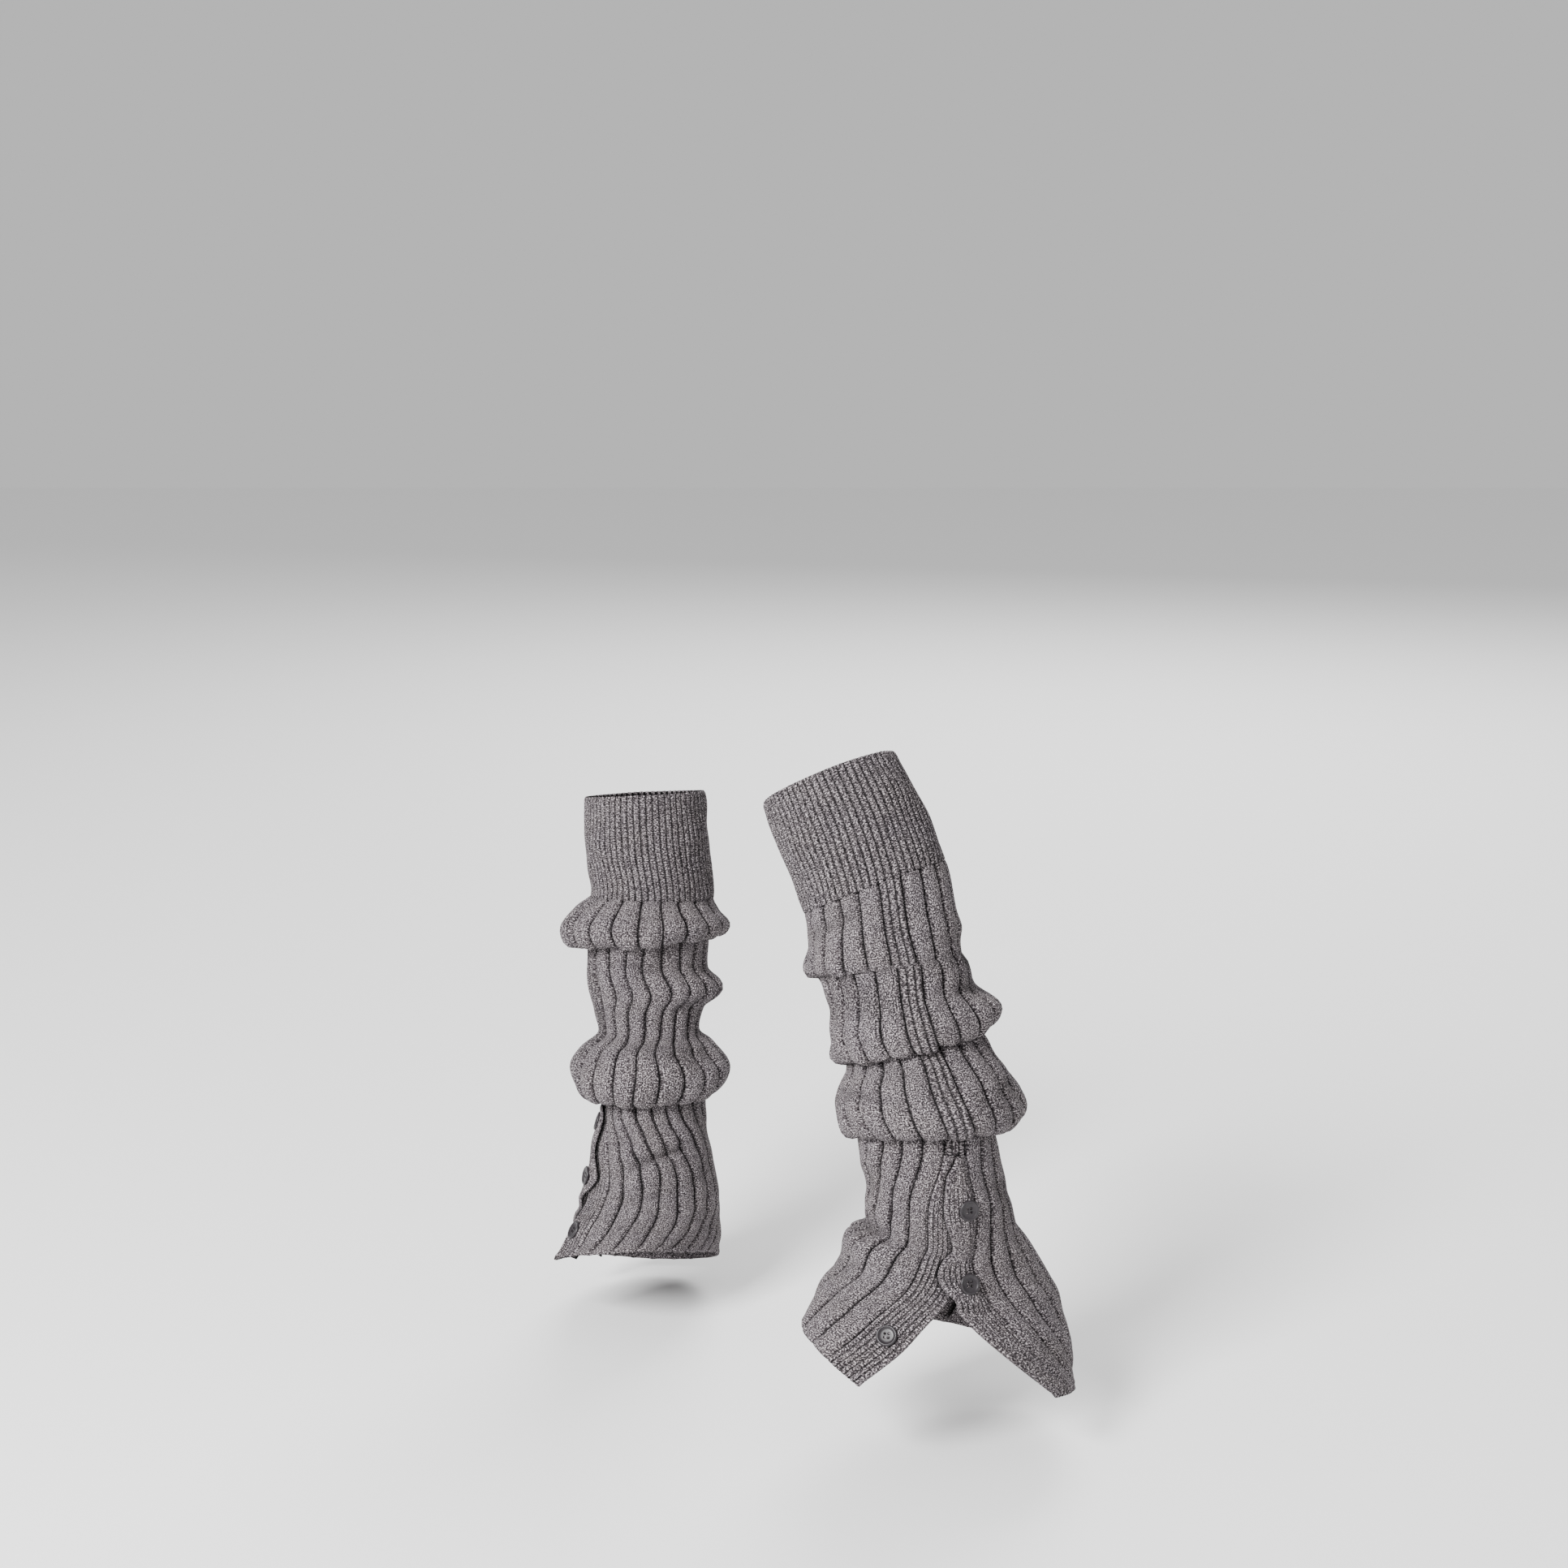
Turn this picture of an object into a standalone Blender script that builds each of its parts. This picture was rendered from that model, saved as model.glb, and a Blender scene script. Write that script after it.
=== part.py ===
"""A pair of slouched knit leg warmers as worn: hollow, with ribbed cuffs, folds and a buttoned vent.

Lengths in the tables are millimetres. The origin is the middle of the left cuff, +Z is up and -Y is
the front. Each leg has its own directions: along points to the toe, out points to the outer side.
"""

import math
from collections import namedtuple

import bmesh
import bpy
import numpy as np
from mathutils import Vector

# Cloth sizes
MM = 0.001
SEAM_GAP = 0.3
WIDE_RIBS = 20
PANEL_RIBS = WIDE_RIBS - 1
FINE_RIBS_EACH = 3
BAND_RIBS = 7
BAND_WIDTH = 1.5
RIB_PITCH = 15.0
LEG_HALF = 1.1
LEG_RELIEF = 1.3
CREST = LEG_HALF + LEG_RELIEF / 2
CUFF_HALF = 1.1
CUFF_RELIEF = 1.1
BAND_HALF = 1.0
BAND_RELIEF = 0.7
FURROW_SHARE = 0.11
UNDER_START = 0.35
UNDER_LENGTH = 28.0
OVER_START = 0.6
OVER_LENGTH = 12.0
OVERLAP_LIFT = 3.6
OVERLAP_CLIMB = 0.45
OVERLAP_FADE = 0.6
WAVE = 0.35
FLAP_RIBS = 6
KNIT_ROUGHNESS = 0.9
KNIT_SHARP = 50

# How finely the cloth is stepped and smoothed
ROW_STEP = 12.0
CUFF_STEP = 30.0
RING_STEPS = 96
SLOPE_GAIN = 1.6
SLOPE_SPARE = 0.12
FACING_RIBS = 0.15
FACING_STEP = 1.5

# Button sizes
BUTTON_RADIUS = 7.5
BUTTON_THICK = 2.6
BUTTON_DISH = 0.7
HOLE_RADIUS = 0.95
HOLE_SPACING = 1.6
BUTTON_CLEARANCE = 0.45
BUTTON_TURNS = 16
BUTTON_SHARP = 40
BUTTON_ROUGHNESS = 0.35
HOLE_SIDES = 6

# Half of the button's outline, from the middle of its underside to the middle of its face, as shares
# of its radius and thickness.
Turned = namedtuple("Turned", "radius height")

BUTTON_OUTLINE = (
    Turned(0.0, 0.0),
    Turned(0.75, 0.0),
    Turned(0.97, 0.25),
    Turned(1.0, 0.6),
    Turned(0.93, 0.93),
    Turned(0.82, 1.0),
    Turned(0.66, 1.0 - BUTTON_DISH / 2),
    Turned(0.0, 1.0 - BUTTON_DISH / 2),
)

# Rings from the cuff's rim to the hem. The centre is at along, out and z. The ring tips up by tip_toe
# and tip_out at the toe and outer sides. The ribs' crests reach toe, heel, outer and inner from its
# centre. Turn is the seam's swing to the toe in degrees.
Ring = namedtuple("Ring", "name z tip_toe tip_out along out toe heel outer inner turn")

LEFT_RINGS = (
    Ring("rim", 38, -9, 22, 13, -12, 46, 46, 46, 46, 1),
    Ring("cuff middle", 0, -11, 24, 0, 0, 48, 48, 48, 48, 2),
    Ring("cuff end", -39, -11, 21, -12, 13, 49, 49, 49, 49, 6),
    Ring("above fold 1", -69, -4, 16, -14, 23, 53, 51, 51, 52, 7),
    Ring("fold 1 lip", -91, -1, 14, -13, 28, 55, 53, 54, 55, 4),
    Ring("fold 1 tuck", -94, 3, 15, -17, 31, 53, 53, 53, 52, 6),
    Ring("between", -114, -3, 11, -21, 36, 52, 53, 52, 52, 8),
    Ring("fold 2 crest", -133, -6, 12, -27, 43, 57, 63, 60, 57, 13),
    Ring("fold 2 lip", -145, -7, 14, -26, 45, 56, 52, 57, 56, 9),
    Ring("fold 2 tuck", -147, -7, 16, -24, 46, 45, 42, 45, 45, 6),
    Ring("under fold 2", -156, -4, 15, -26, 49, 47, 47, 49, 47, 4),
    Ring("fold 3 flare", -176, 0, 14, -31, 54, 61, 62, 61, 60, 4),
    Ring("fold 3 crest", -191, 4, 11, -34, 58, 67, 68, 65, 65, 2),
    Ring("fold 3 lip", -206, 3, 13, -34, 60, 61, 57, 59, 58, -2),
    Ring("fold 3 tuck", -208, 6, 14, -31, 60, 49, 48, 49, 48, -4),
    Ring("vent top", -222, 8, 11, -31, 61, 49, 49, 49, 48, -4),
    Ring("ankle", -250, 4, 4, -36, 65, 49, 52, 50, 49, 7),
    Ring("instep crease", -282, 5, 2, -36, 65, 50, 62, 52, 50, 9),
    Ring("instep fold", -290, 9, 1, -36, 65, 66, 70, 54, 54, 9),
    Ring("flare 1", -312, 12, 0, -36, 65, 71, 86, 62, 56, 11),
    Ring("flare 2", -332, 19, 0, -36, 65, 83, 96, 76, 56, 12),
    Ring("flare 3", -353, 27, 0, -36, 65, 94, 100, 95, 55, 8),
    Ring("hem", -369, 28, 0, -36, 65, 102, 95, 112, 54, 4),
)

RIGHT_RINGS = (
    Ring("rim", 40, 7, -5, 1, 1, 46, 46, 46, 46, 30),
    Ring("cuff middle", 0, 7, -3, 0, 0, 48, 48, 48, 48, 30),
    Ring("cuff end", -44, 8, -2, -1, -3, 48, 48, 48, 48, 32),
    Ring("fold 1 flare", -54, 10, -3, 0, 0, 56, 56, 57, 56, 34),
    Ring("fold 1 crest", -69, 11, -6, 1, 2, 66, 65, 66, 66, 36),
    Ring("fold 1 lip", -76, 8, -7, 1, 2, 61, 60, 61, 61, 37),
    Ring("fold 1 tuck", -75, 7, -5, 2, -1, 48, 48, 48, 48, 37),
    Ring("between", -102, 9, -5, 5, -1, 47, 48, 47, 48, 37),
    Ring("fold 2 crest", -120, 7, -7, 5, -4, 47, 50, 46, 57, 37),
    Ring("fold 2 tuck", -132, 6, -5, 8, -4, 43, 42, 43, 43, 37),
    Ring("waist", -151, 4, -2, 14, -6, 40, 40, 40, 40, 35),
    Ring("fold 3 flare", -163, 8, -5, 16, -5, 52, 52, 53, 52, 32),
    Ring("fold 3 crest", -178, 6, -3, 18, -9, 62, 62, 63, 62, 30),
    Ring("fold 3 lip", -195, 3, -3, 21, -10, 53, 53, 54, 53, 27),
    Ring("fold 3 tuck", -194, 6, -6, 22, -13, 39, 39, 39, 39, 20),
    Ring("vent top", -205, 4, -4, 23, -13, 40, 40, 37, 40, 18),
    Ring("puckers", -225, 2, -3, 25, -13, 42, 43, 42, 42, 27),
    Ring("ankle", -252, 2, -3, 28, -12, 49, 50, 46, 48, 42),
    Ring("flare 1", -280, 8, -2, 28, -12, 60, 60, 51, 52, 40),
    Ring("flare 2", -302, 18, -3, 28, -12, 71, 66, 58, 52, 39),
    Ring("flare 3", -319, 26, -6, 28, -12, 80, 68, 63, 52, 38),
    Ring("hem", -332, 32, -9, 28, -12, 87, 68, 67, 49, 37),
)

# How far the vent's two edges swing open at a ring, how far their corners drop and how far they
# stand out.
Flap = namedtuple("Flap", "ring open_front open_back drop_front drop_back out_front out_back")

LEFT_FLAPS = (
    Flap("ankle", 7, 9, 0, 0, 0, 0),
    Flap("instep crease", 6, 10, 0, 0, 0, 0),
    Flap("instep fold", 7, 10, 0, 0, 0, 0),
    Flap("flare 1", 15, 20, 0, 0, 0, 0),
    Flap("flare 2", 34, 40, -2, 1, 0, 0),
    Flap("flare 3", 66, 63, -8, 2, 0, 0),
    Flap("hem", 104, 82, -18, 3, 0, 0),
)

RIGHT_FLAPS = (
    Flap("puckers", 6, 7, 0, 0, 0, 0),
    Flap("ankle", 7, 8, 0, 0, 0, 0),
    Flap("flare 1", 11, 16, 0, 0, 0, 0),
    Flap("flare 2", 14, 40, -1, 0, 2, 0),
    Flap("flare 3", 16, 68, -4, 0, 6, 0),
    Flap("hem", 17, 90, -8, 0, 10, 0),
)

# Soft troughs and ridges: their middle at a ring and rib, reach in ribs, width down the cloth, tilt
# down the cloth for each rib, and depth outwards.
Crease = namedtuple("Crease", "ring rib reach width tilt depth")

LEFT_CREASES = (
    Crease("between", 5.0, 4.0, 9, 2.0, -2.5),
    Crease("instep crease", 6.0, 3.5, 7, 1.5, -3.0),
    Crease("under fold 2", 16.0, 3.0, 9, -2.0, 4.0),
)

RIGHT_CREASES = (
    Crease("ankle", 3.3, 2.0, 7, -7.0, 4.5),
    Crease("puckers", 5.5, 3.0, 7, 0.5, 3.0),
    Crease("puckers", 3.4, 1.9, 6, -6.0, -2.5),
)

# Buttons: which one, how far down the cloth between two rings, and the rib it sits on.
Button = namedtuple("Button", "number above below share rib")

LEFT_BUTTONS = (
    Button(1, "ankle", "instep crease", 0.08, 0.45),
    Button(2, "instep fold", "flare 1", 0.6, 0.45),
    Button(3, "flare 2", "flare 3", 0.6, 0.25),
)

RIGHT_BUTTONS = (
    Button(1, "vent top", "puckers", 0.75, 0.45),
    Button(2, "ankle", "flare 1", 0.3, 0.45),
    Button(3, "flare 2", "flare 3", 0.5, 0.0),
)

# Cloth and button colours, red green blue
KNIT_GREY = (0.235, 0.215, 0.225)
BUTTON_GREY = (0.12, 0.11, 0.13)


def slopes_of(knots, values):
    """Slopes for a smooth curve through rows of values, held back beside a flat stretch."""
    slopes = np.gradient(values, knots, axis=0)
    secants = np.abs(np.diff(values, axis=0) / np.diff(knots)[:, None])
    gentlest = np.minimum(secants[:-1], secants[1:])
    most = SLOPE_GAIN * gentlest + SLOPE_SPARE
    slopes[1:-1] = np.clip(slopes[1:-1], -most, most)
    return slopes


def running_curve(knots, values, slopes, t):
    """The smooth curve through rows of values, read at t."""
    i = int(np.clip(np.searchsorted(knots, t) - 1, 0, len(knots) - 2))
    span = knots[i + 1] - knots[i]
    s = (t - knots[i]) / span
    start = (1 + 2 * s) * (1 - s) ** 2 * values[i] + s * (1 - s) ** 2 * span * slopes[i]
    end = s * s * (3 - 2 * s) * values[i + 1] + s * s * (s - 1) * span * slopes[i + 1]
    return start + end


class Leg:
    """One leg warmer's cloth. Down is the distance down it, rib is counted round from the seam."""

    def __init__(self, name, at, heading, side, rings, flaps, creases, buttons):
        self.name = name
        self.at = np.array(at, float)
        toe = math.radians(heading)
        self.along = np.array((math.cos(toe), math.sin(toe), 0.0))
        self.out = side * np.array((-math.sin(toe), math.cos(toe), 0.0))
        self.side = side
        self.buttons = buttons
        opened = {flap.ring: flap[1:] for flap in flaps}
        rows = [ring[1:] + tuple(opened.get(ring.name, (0,) * 6)) for ring in rings]
        self.rows = np.array(rows, float)
        steps = np.abs(np.diff(self.rows[:, [0, 5, 6, 7, 8]], axis=0))
        lengths = np.hypot(steps[:, 0], steps[:, 1:].mean(axis=1))
        self.knots = np.concatenate([[0.0], np.cumsum(lengths)])
        self.slopes = slopes_of(self.knots, self.rows)
        self.down_at = {ring.name: down for ring, down in zip(rings, self.knots)}
        self.creases = [(self.down_at[crease.ring],) + crease[1:] for crease in creases]

    def ring(self, down):
        """One ring of the cloth: its points, the distance round to each, and its row of values."""
        row = running_curve(self.knots, self.rows, self.slopes, down)
        z, tip_toe, tip_out, along, out, toe, heel, outer, inner, turn = row[:10]
        angle = math.radians(90 - turn) - np.linspace(0, 2 * math.pi, RING_STEPS + 1)
        cos, sin = np.cos(angle), np.sin(angle)
        x = along + (np.where(cos > 0, toe, heel) - CREST) * cos
        y = out + (np.where(sin > 0, outer, inner) - CREST) * sin
        height = z + tip_toe * cos + tip_out * sin
        points = np.stack([x, y, height], axis=1)
        arc = np.concatenate([[0.0], np.cumsum(np.linalg.norm(np.diff(points, axis=0), axis=1))])
        return points, arc, row

    def spacing(self, arc, row):
        """Where the panel's front edge lies round the ring, and the width of a rib."""
        open_front, open_back = row[10:12]
        first = arc[-1] / WIDE_RIBS + open_front
        return first, (arc[-1] - open_back - first) / PANEL_RIBS

    def overlap(self, down):
        """How far the two bands lie over each other, in ribs."""
        _, arc, row = self.ring(down)
        first, pitch = self.spacing(arc, row)
        return 2 * BAND_WIDTH - (first + row[11]) / pitch

    def middle(self, down, ribs):
        """Points in the middle of the cloth, at one distance down and at each rib."""
        points, arc, row = self.ring(down)
        drop_front, drop_back, out_front, out_back = row[12:]
        first, pitch = self.spacing(arc, row)
        ribs = np.asarray(ribs, float)
        place = first + (ribs - 1) * pitch
        x, y, height = (np.interp(place, arc, points[:, i], period=arc[-1]) for i in range(3))
        near_front = np.clip(1 - (ribs + 0.5) / FLAP_RIBS, 0, 1) ** 2
        near_back = np.clip(1 - (WIDE_RIBS + 1.5 - ribs) / FLAP_RIBS, 0, 1) ** 2
        height += drop_front * near_front + drop_back * near_back
        y += out_front * near_front + out_back * near_back
        flat = np.outer(x, self.along) + np.outer(y, self.out)
        return self.at + flat + np.outer(height, (0, 0, 1))

    def skin(self, down, ribs, lift):
        """Points lifted off the middle of the cloth, with the creases pressed in."""
        ribs = np.asarray(ribs, float)
        across = self.middle(down, ribs + FACING_RIBS) - self.middle(down, ribs - FACING_RIBS)
        low = min(down + FACING_STEP, self.knots[-1])
        high = max(down - FACING_STEP, 0.0)
        facing = self.side * np.cross(across, self.middle(low, ribs) - self.middle(high, ribs))
        facing /= np.linalg.norm(facing, axis=1)[:, None]
        push = np.zeros(len(ribs))
        for ring, rib, reach, width, tilt, depth in self.creases:
            round_to = (ribs - rib + WIDE_RIBS / 2) % WIDE_RIBS - WIDE_RIBS / 2
            off = round_to / reach
            along = (down - ring - tilt * round_to) / width
            push += depth * np.exp(-along * along) * np.clip(1 - off * off, 0, 1)
        return self.middle(down, ribs) + facing * (np.asarray(lift) + push)[:, None]


def new_object(name, mesh, colour, roughness):
    """An object in the leg warmers' collection, with a material of its own."""
    material = bpy.data.materials.new(name)
    material.use_nodes = True
    shader = material.node_tree.nodes["Principled BSDF"]
    shader.inputs["Base Color"].default_value = (*colour, 1)
    shader.inputs["Roughness"].default_value = roughness
    shader.inputs["Metallic"].default_value = 0.0
    mesh.materials.append(material)
    thing = bpy.data.objects.new(name, mesh)
    COLLECTION.objects.link(thing)
    return thing


def wall(name, leg, rows, edges, ridges, half, relief, lift=None, kept=None):
    """A knit wall: ribs raised in its outer points over a plain inside.

    Edges gives the ribs where its cells meet, at a distance down. Ridges gives a cell's outer points
    as pairs of share and height. Lift gives how far the wall rides out at a place, and kept says
    whether a cell is there.
    """
    build = bmesh.new()
    outer, inner = {}, {}
    last = len(edges(rows[0])) - 1
    columns = [(cell, share, height) for cell in range(last) for share, height in ridges(cell)]
    columns.append((last - 1, 1.0, 0))
    starts = [next(i for i, column in enumerate(columns) if column[0] == cell) for cell in range(last)]
    starts.append(len(columns) - 1)
    cells = np.array([column[0] for column in columns])
    shares = np.array([column[1] for column in columns])
    heights = np.array([column[2] for column in columns])
    for j, down in enumerate(rows):
        stops = edges(down)
        ribs = stops[cells] + shares * (stops[cells + 1] - stops[cells])
        for store, places, off in ((outer, ribs, half + relief * (heights - 0.5)), (inner, stops, -half)):
            raised = off + (0.0 if lift is None else lift(down, places))
            raised = raised + np.zeros(len(places))
            for i, point in enumerate(leg.skin(down, places, raised)):
                store[i, j] = build.verts.new(Vector(point) * MM)

    def is_kept(cell, j):
        return 0 <= cell < last and 0 <= j < len(rows) - 1 and (kept is None or kept(cell, j))

    for cell in range(last):
        here, there = starts[cell], starts[cell + 1]
        middle = (here + there) // 2
        for j in range(len(rows) - 1):
            if not is_kept(cell, j):
                continue
            below = j + 1
            for i in range(here, there):
                build.faces.new([outer[at] for at in ((i, j), (i + 1, j), (i + 1, below), (i, below))])
            beyond = cell + 1
            corners = (cell, j), (cell, below), (beyond, below), (beyond, j)
            build.faces.new([inner[corner] for corner in corners])
            for side, near, other in ((here, cell, cell - 1), (there, beyond, beyond)):
                if not is_kept(other, j):
                    build.faces.new((outer[side, j], outer[side, below], inner[near, below], inner[near, j]))
            for row, other in ((j, j - 1), (j + 1, j + 1)):
                if is_kept(cell, other):
                    continue
                for i in range(here, there):
                    near = cell if i < middle else cell + 1
                    build.faces.new((outer[i, row], outer[i + 1, row], inner[near, row]))
                build.faces.new((outer[middle, row], inner[cell, row], inner[cell + 1, row]))
    unused = [vert for vert in build.verts if not vert.link_faces]
    bmesh.ops.delete(build, geom=unused, context="VERTS")
    bmesh.ops.triangulate(build, faces=build.faces)
    bmesh.ops.recalc_face_normals(build, faces=build.faces)
    mesh = bpy.data.meshes.new(name)
    build.to_mesh(mesh)
    build.free()
    mesh.shade_smooth()
    mesh.set_sharp_from_angle(angle=math.radians(KNIT_SHARP))
    return new_object(name, mesh, KNIT_GREY, KNIT_ROUGHNESS)


def fine_ridge(cell):
    """Outer points of a cell that holds one fine rib: its furrow, then its crest."""
    return [(0.0, 0), (0.5, 1)]


def leg_ridge(cell):
    """Fine ribs in the strip, which comes first, then wide ribs with a narrow furrow between them."""
    if cell < FINE_RIBS_EACH:
        return fine_ridge(cell)
    return [(0.0, 0), (FURROW_SHARE, 1), (1 - FURROW_SHARE, 1)]


def rows_between(leg, top, bottom, step):
    """Distances down the cloth: one at each ring, and more where rings lie far apart."""
    stops = [top] + [knot for knot in leg.knots if top + 3 < knot < bottom - 3] + [bottom]
    rows = [stops[0]]
    for start, end in zip(stops, stops[1:]):
        parts = max(1, round((end - start) / step))
        rows += [start + (end - start) * (part + 1) / parts for part in range(parts)]
    return rows


def slit(edges):
    """The borders of a tube's cells, drawn in at both ends to leave the seam's gap."""
    edges[0] += SEAM_GAP / 2 / RIB_PITCH
    edges[-1] -= SEAM_GAP / 2 / RIB_PITCH
    return edges


def cuff_edges(down):
    """Three fine ribs to each of the leg's wide ones."""
    return slit(np.linspace(0, WIDE_RIBS, WIDE_RIBS * FINE_RIBS_EACH + 1))


def leg_edges(down):
    """Fine ribs in the strip beside the seam, then the wide ribs."""
    strip = np.arange(FINE_RIBS_EACH) / FINE_RIBS_EACH
    return slit(np.concatenate([strip, np.arange(1.0, WIDE_RIBS + 1)]))


def cuff(leg):
    rows = rows_between(leg, 0, leg.down_at["cuff end"] - SEAM_GAP / 2, CUFF_STEP)
    wall(leg.name + "_cuff", leg, rows, cuff_edges, fine_ridge, CUFF_HALF, CUFF_RELIEF)


def leg_panel(leg):
    """The slouched panel. Its strip of fine ribs stops at the vent."""
    rows = rows_between(leg, leg.down_at["cuff end"] + SEAM_GAP / 2, leg.knots[-1], ROW_STEP)
    above = [down < leg.down_at["vent top"] - SEAM_GAP for down in rows]
    wall(
        leg.name + "_leg", leg, rows, leg_edges, leg_ridge, LEG_HALF, LEG_RELIEF,
        kept=lambda cell, j: cell >= FINE_RIBS_EACH or above[j],
    )


def band_reach(leg, down, start, length):
    """A band's width in ribs, narrow where it starts at the top of the vent."""
    below = down - leg.down_at["vent top"]
    return BAND_WIDTH * min(1.0, start + (1 - start) * below / length)


def closed_share(leg, down):
    """One where the bands lie over each other, falling to nothing where the vent has opened."""
    return min(1.0, max(0.0, 1 + leg.overlap(down) / OVERLAP_FADE))


def overlap_lift(leg, down, ribs):
    """The upper band leaves its seam flush and climbs over the lower band while the vent is closed."""
    climb = np.clip((np.asarray(ribs) - WIDE_RIBS) / OVERLAP_CLIMB, 0, 1)
    return OVERLAP_LIFT * closed_share(leg, down) * climb * climb * (3 - 2 * climb)


def band_wave(leg, down):
    """The upper band's free edge stands out at its buttons and draws back between them, in ribs."""
    first, second = (button_down(leg, button) for button in leg.buttons[:2])
    turns = (down - first) / (second - first)
    return -WAVE * closed_share(leg, down) * (1 - math.cos(2 * math.pi * turns)) / 2


def bands(leg):
    """The band under the front edge, then the one over the back edge."""
    rows = rows_between(leg, leg.down_at["vent top"] + SEAM_GAP, leg.knots[-1], ROW_STEP)
    seam = SEAM_GAP / RIB_PITCH

    def front_edges(down):
        reach = band_reach(leg, down, UNDER_START, UNDER_LENGTH)
        return np.linspace(1 - seam - reach, 1 - seam, BAND_RIBS + 1)

    def back_edges(down):
        reach = band_reach(leg, down, OVER_START, OVER_LENGTH) + band_wave(leg, down)
        return np.linspace(WIDE_RIBS + seam, WIDE_RIBS + seam + reach, BAND_RIBS + 1)

    wall(leg.name + "_button_band", leg, rows, front_edges, fine_ridge, BAND_HALF, BAND_RELIEF)
    wall(
        leg.name + "_buttonhole_band", leg, rows, back_edges, fine_ridge, BAND_HALF, BAND_RELIEF,
        lift=lambda down, ribs: overlap_lift(leg, down, ribs),
    )


def button_down(leg, button):
    """How far down the cloth a button sits."""
    above, below = leg.down_at[button.above], leg.down_at[button.below]
    return above + button.share * (below - above)


def button_mesh():
    """A turned disc with a dished face and a rolled rim, then four holes through it."""
    build = bmesh.new()
    verts = []
    for turned in BUTTON_OUTLINE:
        place = Vector((turned.radius * BUTTON_RADIUS, 0, turned.height * BUTTON_THICK))
        verts.append(build.verts.new(place * MM))
    lines = [build.edges.new(pair) for pair in zip(verts, verts[1:])]
    bmesh.ops.spin(
        build, geom=verts + lines, cent=(0, 0, 0), axis=(0, 0, 1), angle=2 * math.pi,
        steps=BUTTON_TURNS, use_merge=True,
    )
    bmesh.ops.remove_doubles(build, verts=build.verts, dist=1e-6)
    bmesh.ops.recalc_face_normals(build, faces=build.faces)
    mesh = bpy.data.meshes.new("button")
    build.to_mesh(mesh)
    build.free()
    mesh.shade_smooth()
    mesh.set_sharp_from_angle(angle=math.radians(BUTTON_SHARP))
    return mesh


def hole_cutter():
    """Four pins, one for each hole."""
    build = bmesh.new()
    for turn in range(4):
        angle = math.radians(45 + 90 * turn)
        place = Vector((math.cos(angle), math.sin(angle), 0)) * HOLE_SPACING * MM
        made = bmesh.ops.create_cone(
            build, cap_ends=True, segments=HOLE_SIDES, radius1=HOLE_RADIUS * MM,
            radius2=HOLE_RADIUS * MM, depth=4 * BUTTON_THICK * MM,
        )
        bmesh.ops.translate(build, verts=made["verts"], vec=place)
    mesh = bpy.data.meshes.new("button_holes")
    build.to_mesh(mesh)
    build.free()
    cutter = bpy.data.objects.new("button_holes", mesh)
    cutter.hide_render = True
    cutter.display_type = "WIRE"
    CUTTERS.objects.link(cutter)
    return cutter


def drilled_button():
    """The button's mesh with its holes cut."""
    blank = new_object("button_blank", button_mesh(), BUTTON_GREY, BUTTON_ROUGHNESS)
    cut = blank.modifiers.new("holes", "BOOLEAN")
    cut.operation = "DIFFERENCE"
    cut.solver = "EXACT"
    cut.object = hole_cutter()
    graph = bpy.context.evaluated_depsgraph_get()
    mesh = bpy.data.meshes.new_from_object(blank.evaluated_get(graph))
    bpy.data.objects.remove(blank)
    return mesh


def place_buttons(leg, mesh):
    """Each button lies flat on the band it shows on, clear of its ribs."""
    for button in leg.buttons:
        down = button_down(leg, button)
        on_top = button.number < 3
        rib = button.rib + (WIDE_RIBS if on_top else 0)
        lift = BAND_HALF + BAND_RELIEF / 2 + BUTTON_CLEARANCE
        if on_top:
            lift += float(overlap_lift(leg, down, rib))
        centre = leg.skin(down, [rib], [lift])[0]
        under = leg.skin(down, [rib], [0.0])[0]
        name = f"{leg.name}_button_{button.number}"
        thing = new_object(name, mesh.copy(), BUTTON_GREY, BUTTON_ROUGHNESS)
        thing.location = Vector(centre) * MM
        thing.rotation_mode = "QUATERNION"
        thing.rotation_quaternion = Vector(centre - under).to_track_quat("Z", "Y")


for thing in list(bpy.data.objects):
    bpy.data.objects.remove(thing)

COLLECTION = bpy.data.collections.new("Leg warmers")
CUTTERS = bpy.data.collections.new("Cutters")
for collection in (COLLECTION, CUTTERS):
    bpy.context.scene.collection.children.link(collection)

LEGS = (
    Leg("left", (0, 0, 0), 205, 1, LEFT_RINGS, LEFT_FLAPS, LEFT_CREASES, LEFT_BUTTONS),
    Leg("right", (-157, 205, -57), 250, -1, RIGHT_RINGS, RIGHT_FLAPS, RIGHT_CREASES, RIGHT_BUTTONS),
)
BUTTON = drilled_button()
for leg in LEGS:
    cuff(leg)
    leg_panel(leg)
    bands(leg)
    place_buttons(leg, BUTTON)
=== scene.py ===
# %% [markdown]
# # A pair of slouched, ribbed leg warmers
#
# Each leg warmer is a knitted tube. A fine-ribbed cuff grips the calf, a long wide-ribbed panel slouches
# into folds below it, and a vent over the outer side of the foot closes with buttons on two narrow ribbed
# bands. The solids in the frame already have the folds and the ribs. Here each knitted piece is made
# again, finer: a flat grid, like the piece as it comes off the needles, is wrapped to the leg's shape,
# its ribs are drawn in, and a knitted finish is laid on it.

# %% Load the frame
import math
from collections import namedtuple

import bmesh
import bpy
import numpy as np
from mathutils import Matrix, Vector


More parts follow.
